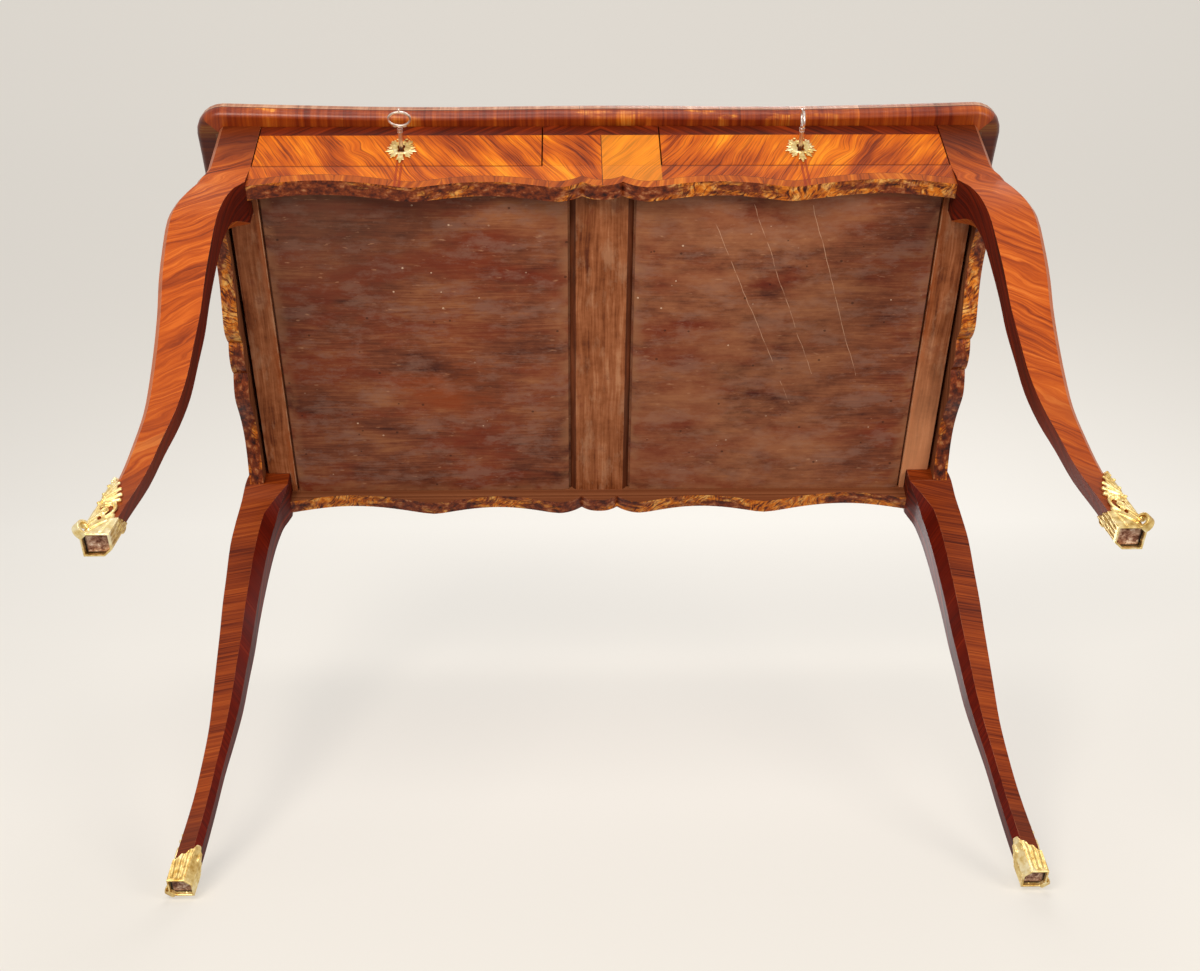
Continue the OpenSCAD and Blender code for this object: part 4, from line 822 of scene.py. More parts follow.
gilt_finish = metal("gilt_bronze", "#c0964a", "#ecd08c", "#fdf0c6", 0.26, pits=0.3)
brass_finish = metal("lock_brass", "#6b5226", "#a5843f", "#cdae62", 0.3)
iron_finish = metal("lock_iron", "#2c2825", "#4a4541", "#706a64", 0.34)
steel_finish = metal("key_steel", "#9a8a80", "#b9a89e", "#d2c6be", 0.2, scale=60, pits=0.08)
print("metals: gilt bronze, brass, iron and steel")

# %% [markdown]
# ## Dressing a piece of the frame
# A packed piece has knife-sharp edges, and no old piece of furniture has. It could be left as it is,
# with only a finish, but light then never catches an edge. So the visible pieces are copied: the
# copy's triangles are merged into whole faces, its sharp edges are rounded by about half a
# millimetre with the bevel operator, and the new narrow faces are marked as worn, for the finish to
# rub them pale and paint a thin highlight along them. The copy then stands for its node and rides on the
# same body.

# %% Copy, merge and round
JOIN_WITHIN = 2e-6
FLAT_ANGLE = math.radians(0.03)


def joined_copy(node):
    """A bmesh of a packed piece, still in triangles, with the corners of neighbours joined."""
    bm = bmesh.new()
    bm.from_mesh(nodes[node].data)
    bmesh.ops.remove_doubles(bm, verts=bm.verts, dist=JOIN_WITHIN)
    return bm


def merged_copy(node):
    """A bmesh of a packed piece, its triangles merged into whole faces."""
    bm = joined_copy(node)
    bmesh.ops.dissolve_limit(bm, angle_limit=FLAT_ANGLE, verts=bm.verts, edges=bm.edges)
    return bm


def round_edges(bm, width, least_angle=28):
    """Rounds the edges where two faces meet at more than least_angle and marks the new faces."""
    worn = bm.faces.layers.float.new("worn")
    sharp = [e for e in bm.edges if len(e.link_faces) == 2
             and e.calc_face_angle(0) > math.radians(least_angle)]
    made = bmesh.ops.bevel(bm, geom=sharp, offset=width, offset_type="OFFSET", segments=2,
                           profile=0.5, affect="EDGES", clamp_overlap=True, material=-1)
    for face in made["faces"]:
        face[worn] = 1.0


def new_object(bm, name):
    """Turns a bmesh into an object of the scene and frees the bmesh."""
    mesh = bpy.data.meshes.new(name)
    bm.to_mesh(mesh)
    bm.free()
    made = bpy.data.objects.new(name, mesh)
    bpy.context.scene.collection.objects.link(made)
    return made


def stand_in(bm, node, work, finish, smooth_angle=30):
    """A finished piece that stands for a packed one and rides on the same body."""
    piece = new_object(bm, f"{node}_{work}")
    piece.data.materials.append(finish)
    piece.data.shade_smooth()
    piece.data.set_sharp_from_angle(angle=math.radians(smooth_angle))
    if smooth_angle < 45:
        weigh = piece.modifiers.new("flat_faces_stay_flat", "WEIGHTED_NORMAL")
        weigh.keep_sharp = True
    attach(piece, nodes[node]["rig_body"])
    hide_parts(node)
    print(piece.name, len(piece.data.polygons), "faces")


print("material slots:", sorted(set(slot_of.values())))

# %% [markdown]
# ## The floors
# The table stands on a pale floor. The photograph's floor is tipped against the table, because the
# table leans back on its rear feet there, so a second floor passes through those feet. Each floor is
# clear from behind. The tipped one shows only to a camera that looks up through the level one, and
# the level one to a camera above it. So both views get their own floor, and neither hides the table.

# %% Paint the floors
PALE = "#f1eee8"
FLOOR_SHADE = 0.45
FLOOR_GLOW = 0.5


def floor_finish(name, seen_through_level_floor):
    """Pale paint, clear from behind. The tipped floor is also clear from above the level one."""
    made = bpy.data.materials.new(name)
    made.use_nodes = True
    graph = Graph(made.node_tree)
    geometry = graph.node("ShaderNodeNewGeometry")
    hidden = Amount(graph, geometry.outputs["Backfacing"])
    if seen_through_level_floor:
        path = graph.node("ShaderNodeLightPath")
        uncrossed = Amount(graph, path.outputs["Transparent Depth"]).below(0.5)
        height = graph.split(geometry.outputs["Position"])[2]
        hidden = hidden.sum("MAXIMUM", uncrossed * height.above(0.0))
    shade = [part * FLOOR_SHADE for part in paint(PALE)[:3]]
    dull = graph.node("ShaderNodeBsdfDiffuse", sockets={"Color": (*shade, 1.0)})
    glow = graph.node("ShaderNodeEmission", sockets={"Color": paint(PALE), "Strength": FLOOR_GLOW})
    both = graph.node("ShaderNodeAddShader", sockets={0: dull.outputs[0], 1: glow.outputs[0]})
    clear = graph.node("ShaderNodeBsdfTransparent")
    mixed = graph.node("ShaderNodeMixShader", sockets={
        "Fac": hidden, 1: both.outputs[0], 2: clear.outputs[0]})
    graph.node("ShaderNodeOutputMaterial", sockets={"Surface": mixed.outputs[0]})
    return made


level_floor_finish = floor_finish("level_floor_paint", False)
tipped_floor_finish = floor_finish("tipped_floor_paint", True)
print("floors are painted", PALE)

# %% [markdown]
# ## The sheets of the stage
# The level floor is one flat face. The tipped one starts as an edge in front of the table. The edge
# is pulled backwards, swept round a quarter turn and pulled on as a wall. A corner there would show
# as a line, and the sweep hides it. The sheets take no part in the light: they cast no shadow, and
# nothing is mirrored from them.

# %% Lay the floors
STAGE_HALF_WIDTH = 14.0
# The tipped floor passes through the rear feet. It reaches from its near edge to the wall's foot.
REAR_FEET = Vector((0, 0.2865, 0.0))
FLOOR_FACING = Vector((0, -0.877, 0.480)).normalized()
FLOOR_BACKWARD = Vector((0, 0.480, 0.877)).normalized()
NEAR_DISTANCE, WALL_DISTANCE, WALL_HEIGHT = 3.0, 1.75, 12.0
SWEEP_RADIUS = 0.7


def stage_sheet(name, bm, finish):
    sheet = new_object(bm, name)
    sheet.data.shade_smooth()
    sheet.data.materials.append(finish)
    for kind in ("diffuse", "glossy", "transmission", "shadow"):
        setattr(sheet, "visible_" + kind, False)


def verts_of(geom):
    return [part for part in geom if isinstance(part, bmesh.types.BMVert)]


def edges_of(geom):
    return [part for part in geom if isinstance(part, bmesh.types.BMEdge)]


def tipped_sheet():
    """A floor through the rear feet, swept up into a wall behind."""
    bm = bmesh.new()
    near = REAR_FEET - FLOOR_BACKWARD * NEAR_DISTANCE
    ends = [bm.verts.new(near + Vector((x, 0, 0))) for x in (-STAGE_HALF_WIDTH, STAGE_HALF_WIDTH)]
    edge = bm.edges.new(ends)
    made = bmesh.ops.extrude_edge_only(bm, edges=[edge])["geom"]
    moved = verts_of(made)
    bmesh.ops.translate(bm, verts=moved, vec=FLOOR_BACKWARD * (NEAR_DISTANCE + WALL_DISTANCE))
    far_edge = [e for e in edges_of(made) if all(v in moved for v in e.verts)]
    turn_centre = REAR_FEET + FLOOR_BACKWARD * WALL_DISTANCE + FLOOR_FACING * SWEEP_RADIUS
    swept = bmesh.ops.spin(bm, geom=moved + far_edge, cent=turn_centre, axis=(1, 0, 0),
                           angle=math.radians(90), steps=16, use_duplicate=False)["geom_last"]
    print("wall foot at", [tuple(round(c, 2) for c in v.co) for v in verts_of(swept)])
    wall = bmesh.ops.extrude_edge_only(bm, edges=edges_of(swept))["geom"]
    bmesh.ops.translate(bm, verts=verts_of(wall), vec=FLOOR_FACING * WALL_HEIGHT)
    bm.normal_update()
    if sum(face.normal.dot(FLOOR_FACING) for face in bm.faces) < 0:
        bmesh.ops.reverse_faces(bm, faces=bm.faces)
    return bm


level_sheet = bmesh.new()
bmesh.ops.create_grid(level_sheet, x_segments=1, y_segments=1, size=STAGE_HALF_WIDTH)
stage_sheet("level_floor", level_sheet, level_floor_finish)
stage_sheet("tipped_floor", tipped_sheet(), tipped_floor_finish)

# %% [markdown]
# ## The lamps and the room
# The photograph has soft daylight from several sides, and no hard shadows. One strong lamp would cut
# the underside into black and white. So five large round lamps stand about the table: over the
# camera, at the right, in front, above the top and behind. The room itself is a pale world. It is
# bright where the camera or a shiny surface sees it, and dimmer where it only lights the table.

# %% Hang the lamps and set the world
TABLE_MIDDLE = Vector((0.0, 0.0, 0.55))


def soft_lamp(name, place, size, watts, colour="#ffffff"):
    """A round lamp that faces the table and isn't seen by the camera."""
    data = bpy.data.lights.new(name, "AREA")
    data.shape = "DISK"
    data.size = size
    data.energy = watts
    data.color = paint(colour)[:3]
    lamp = bpy.data.objects.new(name, data)
    lamp.location = place
    lamp.visible_camera = False
    lamp.rotation_euler = (TABLE_MIDDLE - Vector(place)).to_track_quat("-Z", "Y").to_euler()
    bpy.context.scene.collection.objects.link(lamp)


soft_lamp("lamp_over_camera", (-0.9, -2.3, -0.55), 1.1, 46, "#fff6ea")
soft_lamp("lamp_right", (1.7, -1.7, -0.8), 1.2, 26, "#fff6ea")
soft_lamp("lamp_front", (0.0, -2.4, 1.3), 1.2, 17, "#fff8f0")
soft_lamp("lamp_above", (0.4, 0.3, 3.4), 1.6, 56)
soft_lamp("lamp_behind", (-1.0, 2.2, 2.9), 1.4, 34)

world = bpy.data.worlds.new("pale_room")
bpy.context.scene.world = world
world.use_nodes = True
room = Graph(world.node_tree)
path = room.node("ShaderNodeLightPath")
seen = Amount(room, path.outputs["Is Camera Ray"])
for ray in ("Is Glossy Ray", "Is Transmission Ray"):
    seen = seen.sum("MAXIMUM", path.outputs[ray])
light = room.node("ShaderNodeBackground", sockets={"Color": paint("#fbf3ea"), "Strength": 0.35})
backdrop = room.node("ShaderNodeBackground", sockets={"Color": paint(PALE), "Strength": 0.88})
either = room.node("ShaderNodeMixShader", sockets={
    "Fac": seen, 1: light.outputs[0], 2: backdrop.outputs[0]})
room.node("ShaderNodeOutputWorld", sockets={"Surface": either.outputs[0]})

# %% [markdown]
# ## Paint the pieces that stay as they are
# The pieces inside the table keep their packed shape. Only their finish changes, so each gets its
# material in its own slot, and nothing in its mesh is touched.

# %% Assign the finishes
SLOT_FINISH = {
    "veneer": apron_veneer_finish, "drawer_veneer": drawer_veneer_finish,
    "leg_veneer": leg_veneer_finish, "raw_rail": stained_rail_finish,
    "raw_panel": stained_panel_finish, "drawer_oak": plain_oak_finish, "leather": leather_finish,
    "gilt_bronze": gilt_finish, "lock_brass": brass_finish, "lock_steel": iron_finish,
    "key_steel": steel_finish,
}
for name, node in nodes.items():
    finish = SLOT_FINISH[slot_of[name]]
    node.data.materials.clear()
    node.data.materials.append(finish)
print("finishes given to", len(nodes), "pieces")

# %% [markdown]
# ## Aprons
# The crossband on an apron follows its shaped lower edge, so each place on the face has to know how
# far above that edge it lies. The face is cut with upright planes at every corner of the edge. In
# each narrow strip between two cuts the edge is straight, and the height above it is then exact at
# every corner, and so everywhere between them.

# %% Dress the aprons
# The shaped edge rises and falls within this height, and joints cut into the board lie above it.
EDGE_REACH = 0.020


def edge_height(points, run):
    """Height of the shaped edge at a place along the apron, from its (run, z) points in order."""
    for (r0, z0), (r1, z1) in zip(points, points[1:]):
        if r0 <= run <= r1:
            return z0 + (z1 - z0) * (run - r0) / max(r1 - r0, 1e-9)
    return points[0][1] if run < points[0][0] else points[-1][1]


def all_of(bm):
    return bm.verts[:] + bm.edges[:] + bm.faces[:]


def dress_apron(node, axis):
    """Axis is the direction that the apron runs in: 0 for X and 1 for Y."""
    bm = merged_copy(node)
    lo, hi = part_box(node)
    lowest = {}
    for v in bm.verts:
        run = round(v.co[axis], 5)
        lowest[run] = min(lowest.get(run, hi.z), v.co.z)
    points = sorted((run, z) for run, z in lowest.items() if z < lo.z + EDGE_REACH)
    normal = Vector((1, 0, 0)) if axis == 0 else Vector((0, 1, 0))
    for run, _ in points[1:-1]:
        bmesh.ops.bisect_plane(bm, geom=all_of(bm), dist=1e-6, plane_co=normal * run, plane_no=normal)
    above = bm.verts.layers.float.new("above_edge")
    for v in bm.verts:
        v[above] = max(0.0, v.co.z - edge_height(points, v.co[axis]))
    round_edges(bm, 0.0005, 40)
    stand_in(bm, node, "dressed", apron_veneer_finish)


for apron, axis in (("front_apron", 0), ("rear_apron", 0), ("left_apron", 1), ("right_apron", 1)):
    dress_apron(apron, axis)

# %% [markdown]
# ## Legs, top, drawers and the underside frame
# These pieces are already the right shape. They only need their edges rounded: more on the legs and
# the muntin and rails, where hands and knees rub, and less on the crisp joints of the drawers. The
# rim of the top is already round. But the packed top comes in triangles, and those of its two level
# faces are folded over where the long sides bow. A fold shades as a dark line. So these triangles are
# deleted, and each level outline is filled again.

# %% Dress the remaining wooden pieces
def refill_level_faces(bm):
    """Deletes the level triangles and fills each level outline again. Returns the heights."""
    level = [f for f in bm.faces if abs(f.normal.z) > 0.9999]
    heights = sorted({round(f.verts[0].co.z, 5) for f in level})
    bmesh.ops.delete(bm, geom=level, context="FACES")
    for height in heights:
        rim = [e for e in bm.edges if e.is_boundary
               and all(abs(v.co.z - height) < 1e-5 for v in e.verts)]
        bmesh.ops.triangle_fill(bm, use_beauty=True, use_dissolve=False, edges=rim)
    bmesh.ops.recalc_face_normals(bm, faces=bm.faces)
    return heights


for leg in ("front_left_leg", "front_right_leg", "rear_left_leg", "rear_right_leg"):
    bm = merged_copy(leg)
    round_edges(bm, 0.0009, 22)
    stand_in(bm, leg, "dressed", leg_veneer_finish, 24)

top_copy = joined_copy("top_board")
print("level faces of the top filled again at", refill_level_faces(top_copy))
stand_in(top_copy, "top_board", "dressed", top_veneer_finish)

for finish, width, names in (
        (drawer_veneer_finish, 0.0004, ("centre_stile",)),
        (drawer_veneer_finish, 0.0005, ("left_drawer_front", "right_drawer_front")),
        (stained_rail_finish, 0.0009, ("centre_muntin", "left_side_rail", "right_side_rail")),
        (stained_panel_finish, 0.0006, ("left_dust_panel", "right_dust_panel"))):
    for node in names:
        bm = merged_copy(node)
        round_edges(bm, width)
        stand_in(bm, node, "dressed", finish)

# %% [markdown]
# ## Tools for cast and chased bronze
# The bronze shoes were cast in sand from a carved model, then chased: leaves, scrolls and beads that
# flow into one skin. Boolean unions of so many small forms often fail. Here the plain packed shoe
# and the ornament are only laid into each other, and a voxel remesh fuses them into one skin with
# soft hollows, as molten metal would. Each ridge of a leaf is a rod: a curve with a round bevel
# that swells and tapers.

# %% Rods and beads
def rod(bm, places, radii, closed=False):
    """A round rod along a smooth line through places, with a radius at each, all in metres."""
    line = bpy.data.curves.new("rod", "CURVE")
    line.dimensions = "3D"
    line.bevel_depth = 1.0
    line.bevel_resolution = 2
    line.use_fill_caps = not closed
    spline = line.splines.new("NURBS")
    spline.points.add(len(places) - 1)
    for point, place, radius in zip(spline.points, places, radii):
        point.co = (*place, 1)
        point.radius = radius
    spline.order_u = min(4, len(places))
    spline.use_endpoint_u = not closed
    spline.use_cyclic_u = closed
    spline.resolution_u = 5
    holder = bpy.data.objects.new("rod", line)
    mesh = bpy.data.meshes.new_from_object(holder)
    bm.from_mesh(mesh)
    bpy.data.objects.remove(holder)
    bpy.data.curves.remove(line)
    bpy.data.meshes.remove(mesh)


def bead(bm, place, size):
    """A round boss: size is its radius along x, y and z."""
    bmesh.ops.create_icosphere(bm, subdivisions=3, radius=1.0,
                               matrix=Matrix.Translation(place) @ Matrix.Diagonal((*size, 1)))


print("a rod is a curve with a round bevel")

# %% [markdown]
# ## From loose forms to one skin
# Modifiers can fuse, cut and thin a mesh, but they work on objects, not on a bmesh. So a helper puts
# the bmesh into an object for a moment, runs one modifier and reads the result back. A voxel remesh
# is the casting, a decimate thins the very fine skin that comes out of it, and a boolean cuts.

# %% Cutting, casting and mirroring
def with_modifier(bm, kind, **settings):
    """Runs one modifier on a bmesh, gives the result and frees the bmesh."""
    holder = new_object(bm, "work")
    modifier = holder.modifiers.new(kind, kind)
    for name, value in settings.items():
        setattr(modifier, name, value)
    graph = bpy.context.evaluated_depsgraph_get()
    result = bpy.data.meshes.new_from_object(holder.evaluated_get(graph))
    fresh = bmesh.new()
    fresh.from_mesh(result)
    bpy.data.meshes.remove(result)
    discard(holder)
    return fresh


def discard(holder):
    """Removes an object and its mesh."""
    mesh = holder.data
    bpy.data.objects.remove(holder)
    bpy.data.meshes.remove(mesh)


def cut_with(bm, cutter, operation):
    """Takes the cutter away from a bmesh, or keeps only what lies inside the cutter."""
    holder = new_object(cutter, "cutter")
    kept = with_modifier(bm, "BOOLEAN", object=holder, operation=operation)
    discard(holder)
    return kept


def lay_into(bm, other):
    """Adds all of another bmesh and frees that one."""
    mesh = bpy.data.meshes.new("laid_in")
    other.to_mesh(mesh)
    other.free()
    bm.from_mesh(mesh)
    bpy.data.meshes.remove(mesh)


def cast(bm, voxel):
    """One skin over everything in a bmesh, softened once."""
    skin = with_modifier(bm, "REMESH", mode="VOXEL", voxel_size=voxel)
    bmesh.ops.smooth_vert(skin, verts=skin.verts, factor=0.5, use_axis_x=True, use_axis_y=True,
                          use_axis_z=True)
    return skin


def thinned(bm, share):
    return with_modifier(bm, "DECIMATE", ratio=share)


def add_reflection(bm, matrix):
    """Adds a mirrored copy of all that is there and keeps its faces pointing outwards."""
    copy = bmesh.ops.duplicate(bm, geom=all_of(bm))["geom"]
    bmesh.ops.transform(bm, matrix=matrix, verts=verts_of(copy))
    bmesh.ops.reverse_faces(bm, faces=[g for g in copy if isinstance(g, bmesh.types.BMFace)])


def reflect_all(bm, matrix):
    """Mirrors a whole bmesh and turns its faces outwards again."""
    bmesh.ops.transform(bm, matrix=matrix, verts=bm.verts)
    bmesh.ops.reverse_faces(bm, faces=bm.faces)


def ring(count):
    """The angles of places spread evenly round a circle."""
    return [2 * math.pi * i / count for i in range(count)]


FLIP_X = Matrix.Scale(-1, 4, (1, 0, 0))
FLIP_Y = Matrix.Translation((0, 2 * CARCASS_MIDDLE, 0)) @ Matrix.Scale(-1, 4, (0, 1, 0))
print("the front and rear feet mirror each other about y", round(CARCASS_MIDDLE, 5))

# %% [markdown]
# ## The bronze shoes
# A shoe is a square socket, open below, whose inner walls are fluted like a folded fan. On the outer
# corner a leaf climbs the arris of the leg. One outer face is modelled and reflected in the foot's
# diagonal, because both faces are alike. A place on that face could be given in plain x, y and z, but
# the foot leans, so a ridge would sink into it or float. Here a place is given by how far it lies in
# from the arris, how high, and how far out of the wood.

# %% Places on the outer face of a foot
def foot_section(leg, z):
    """The furthest x and the outermost y of a leg at a height."""
    bm = merged_copy(leg)
    cut = bmesh.ops.bisect_plane(bm, geom=all_of(bm), plane_co=(0, 0, z), plane_no=(0, 0, 1))
    cut = verts_of(cut["geom_cut"])
    reach = max(v.co.x for v in cut), min(v.co.y for v in cut)
    bm.free()
    return reach


LOW_CUT, HIGH_CUT = 0.030, 0.090
low_x, low_y = foot_section("front_right_leg", LOW_CUT)
high_x, high_y = foot_section("front_right_leg", HIGH_CUT)
DIAGONAL = (low_x + low_y + high_x + high_y) / 2


def foot_side(z):
    return low_x + (high_x - low_x) * (z - LOW_CUT) / (HIGH_CUT - LOW_CUT)


def on_face(inwards, z, out):
    """A place on the outer face, from millimetres in from the arris, up and out of the wood."""
    inwards, z, out = inwards * MM, z * MM, out * MM
    return Vector((foot_side(z) - inwards, DIAGONAL - foot_side(z) - out, z))


def on_arris(z, out):
    """A place on the foot's diagonal, out from the corner of the wood, in millimetres."""
    z, out = z * MM, out * MM / math.sqrt(2)
    return Vector((foot_side(z) + out, DIAGONAL - foot_side(z) - out, z))


# The inner walls at the floor, and how far they lean outwards for each metre up.
INNER_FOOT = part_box("front_right_sabot")[0].x + 0.0051
INNER_LEAN = 0.131


def on_inner_wall(along, z, out):
    """A place on the wall of the shoe that faces the middle, from its inner corner, in millimetres."""
    wall = INNER_FOOT - INNER_LEAN * z * MM
    return Vector((wall - out * MM, DIAGONAL - wall - along * MM, z * MM))


DIAGONAL_MIRROR = Matrix(((0, -1, 0, DIAGONAL), (-1, 0, 0, DIAGONAL), (0, 0, 1, 0), (0, 0, 0, 1)))
print("the foot is", round((low_x - high_x) / MM, 1), "mm wider at", LOW_CUT, "than at", HIGH_CUT)

# %% [markdown]
# ## Ornament of the shoes
# The lobes of the leaf spread like fingers from the arris. A C-scroll bends round a pierced hole with
# a round boss in it, beads end the tip, small curls stand on the arris, and a strap runs down to the
# toe. Each of them is a rod or a bead, with its places read off the photograph in millimetres. The
# packed leaf has a smooth outline, so the spare metal beside the lobes is cut away with the holes.

# %% Ornament of the outer leaf
# Each finger of the leaf: places (in from the arris, up) and the radius at its root and tip.
LEAF_FINGERS = (
    (((0.6, 60), (0.9, 74), (1.4, 87)), 1.5, 1.0),
    (((1.0, 60), (3.0, 71), (6.4, 81.0)), 1.6, 1.5),
    (((1.5, 55), (5.5, 64), (10.6, 71.0)), 1.7, 1.9),
    (((2.0, 51), (8.5, 57), (14.0, 62.0)), 1.7, 2.1),
    (((3.0, 48), (9.5, 51.5), (15.8, 53.5)), 1.6, 2.2),
    (((1.0, 40), (0.6, 30), (0.2, 20)), 1.5, 1.2),
    (((15.6, 22), (10.0, 17), (4.5, 8)), 1.1, 1.9),
    (((18.6, 24), (16.5, 14), (15.2, 4)), 1.2, 1.5),
)
C_SCROLL = ((6.5, 47.5), (11.0, 49.5), (16.0, 46.0), (17.6, 39.0), (16.4, 31.5), (12.0, 26.5))
BOSS = (8.6, 36.0)
BOSS_RING = (3.1, 3.7)
TOE_STRAP = ((7.0, 32.0), (3.6, 25.0), (0.8, 18.0), (-1.5, 12.5))
# What is cut off the inner edge of the packed leaf, so that its lobes stand free: in and up.
LEAF_TRIM = ((3.0, 97), (3.4, 87), (6.0, 78), (9.2, 69), (12.2, 61), (14.8, 54), (16.0, 48),
             (32, 48), (32, 97))
# Each pierced hole: its middle, and half its width and height.
HOLES = (((12.4, 37.0), (3.4, 8.0)), ((4.4, 40.5), (1.4, 2.4)), ((7.6, 25.5), (1.6, 3.0)))
# The rib on the arris: height and distance out. The beads on its tip have a radius too.
SPINE = ((16, 0.6), (30, 0.2), (50, 0.2), (70, 0.2), (90, 0.4))
TIP_BEADS = ((90.3, 1.0, 1.5), (87.6, 1.4, 1.2), (84.6, 1.5, 1.3))
# Small curls on the arris: the height where each one leaves it.
ARRIS_CURLS = (80, 67, 53)
# Teeth of the crown: distance from the inner corner and the height of the packed wall there.
CROWN_TEETH = ((6.5, 34.5), (11.5, 31.5), (16.5, 28.5), (21.5, 26.5))
LEAF_PROUD = 1.5


def rod_mm(bm, places, *radii):
    rod(bm, places, [radius * MM for radius in radii])


def bead_mm(bm, place, *radii):
    """A round boss, or an oval one if a radius is given for x, y and z each."""
    radii = radii * 3 if len(radii) == 1 else radii
    bead(bm, place, [radius * MM for radius in radii])


print("fingers on each face:", len(LEAF_FINGERS), "holes:", len(HOLES))

# %% [markdown]
# ## Laying and cutting the leaf
# Two sets of forms are made for a shoe. The ornament is laid into the packed shoe, and the cutters
# are taken away from it before. Both are made for the face that looks forwards and then reflected in
# the diagonal, so the two faces of a shoe match exactly, and so does the seam between them.

# %% Ornament and cutters
def leaf_ornament():
    """Fingers, C-scroll, boss and strap of one outer face, and the same reflected on the other."""
    bm = bmesh.new()
    for places, root, tip in LEAF_FINGERS:
        line = [on_face(u, z, LEAF_PROUD) for u, z in places]
        rod_mm(bm, line, root, (root + tip) * 0.55, tip)
        bead_mm(bm, line[-1], tip * 1.08)
    curl = [on_face(u, z, LEAF_PROUD + 0.5) for u, z in C_SCROLL]
    rod_mm(bm, curl, 1.5, 1.5, 1.7, 1.6, 1.5, 1.2)
    bead_mm(bm, on_face(*C_SCROLL[0], LEAF_PROUD + 0.9), 2.3, 1.7, 2.3)
    round_boss = [on_face(BOSS[0] + BOSS_RING[0] * math.cos(a), BOSS[1] + BOSS_RING[1] * math.sin(a),
                          LEAF_PROUD + 0.6) for a in ring(8)]
    rod(bm, round_boss, [1.15 * MM] * 8, closed=True)
    bead_mm(bm, on_face(*BOSS, LEAF_PROUD - 0.2), 2.6, 1.6, 3.0)
    rod_mm(bm, [on_face(u, z, LEAF_PROUD + 0.6) for u, z in TOE_STRAP], 1.3, 1.6, 1.9, 2.2)
    for along, top in CROWN_TEETH:
        tooth = [on_inner_wall(along, top - 7 + 3.3 * i, -0.8) for i in range(4)]
        rod_mm(bm, tooth, 1.2, 1.9, 1.5, 0.4)
    add_reflection(bm, DIAGONAL_MIRROR)
    rod_mm(bm, [on_arris(z, out) for z, out in SPINE], 1.9, 1.6, 1.7, 1.4, 1.1)
    for z, out, size in TIP_BEADS:
        bead_mm(bm, on_arris(z, out), size)
    for z in ARRIS_CURLS:
        rod_mm(bm, [on_arris(z, 0.4), on_arris(z - 3, 1.6), on_arris(z - 4.5, 3.0)], 1.2, 1.7, 1.1)
    return bm


def oval_cutter(bm, middle, wide, high, depth, segments):
    """An oval bar along y, with half its width and height in millimetres and its depth in metres."""
    place = Matrix.Translation(middle) @ Matrix.Rotation(math.radians(90), 4, "X")
    place = place @ Matrix.Diagonal((wide * MM, high * MM, 1, 1))
    bmesh.ops.create_cone(bm, cap_ends=True, segments=segments, radius1=1, radius2=1, depth=depth,
                          matrix=place)


def leaf_cutters():
    """The spare metal beside the lobes and the holes round the boss, on both outer walls."""
    bm = bmesh.new()
    spare = bm.faces.new([bm.verts.new(on_face(u, z, -1.0)) for u, z in LEAF_TRIM])
    grown = bmesh.ops.extrude_face_region(bm, geom=[spare])["geom"]
    outwards = on_face(0, 60, 6.0) - on_face(0, 60, -1.0)
    bmesh.ops.translate(bm, vec=outwards, verts=verts_of(grown))
    bmesh.ops.recalc_face_normals(bm, faces=bm.faces)
    for (u, z), (wide, high) in HOLES:
        oval_cutter(bm, on_face(u, z, 1.0), wide, high, 0.0036, 24)
    add_reflection(bm, DIAGONAL_MIRROR)
    return bm


print("the leaf stands", LEAF_PROUD, "mm proud of the wood")

# %% [markdown]
# ## Fluting and casting the shoes
# The two inner walls carry upright flutes that fan out a little towards the top. Each could be cut
# with its own tool, but there are many and they are shallow. So the cast skin is pressed in by a wave
# along the wall, which fades out just above the floor. The front and the rear right shoe are made, and
# each is reflected for the left side.

# %% Flutes of the socket and the four shoes
FLUTE_PITCH = 0.0050
FLUTE_DEPTH = 0.0009
FLUTE_MIDDLE = 0.0145
# Only what lies this near to the plane of an inner wall is pressed in.
WALL_NEAR = 0.0013
SHOE_VOXEL = 0.00042


def flute_inner_walls(bm, at_rear):
    """Presses upright flutes into the two inner walls, which fan out a little towards the top."""
    for v in bm.verts:
        z = v.co.z
        y = 2 * CARCASS_MIDDLE - v.co.y if at_rear else v.co.y
        ny = -v.normal.y if at_rear else v.normal.y
        wall = INNER_FOOT - INNER_LEAN * z
        if v.normal.x < -0.75 and abs(v.co.x - wall) < WALL_NEAR:
            run = y - (DIAGONAL - foot_side(z))
        elif ny > 0.75 and abs(y - (DIAGONAL - wall)) < WALL_NEAR:
            run = foot_side(z) - v.co.x
        else:
            continue
        fan = (run - FLUTE_MIDDLE) / (1 + 5 * z)
        wave = 0.5 - 0.5 * math.cos(2 * math.pi * fan / FLUTE_PITCH)
        fade = min(1.0, max(0.0, (z - 0.0022) / 0.003))
        v.co -= v.normal * FLUTE_DEPTH * wave * fade


def shoe_skin(node, at_rear):
    cutters, ornament = leaf_cutters(), leaf_ornament()
    if at_rear:
        reflect_all(cutters, FLIP_Y)
        reflect_all(ornament, FLIP_Y)
    plain = cut_with(joined_copy(node), cutters, "DIFFERENCE")
    lay_into(plain, ornament)
    skin = cast(plain, SHOE_VOXEL)
    skin.normal_update()
    flute_inner_walls(skin, at_rear)
    skin = thinned(skin, 0.42)
    for v in skin.verts:
        v.co.z = max(v.co.z, 0.0)
    return skin


for place, at_rear in (("front", False), ("rear", True)):
    skin = shoe_skin(place + "_right_sabot", at_rear)
    for side in ("right", "left"):
        bm = skin.copy()
        if side == "left":
            reflect_all(bm, FLIP_X)
        stand_in(bm, f"{place}_{side}_sabot", "chased", gilt_finish, 50)
    skin.free()

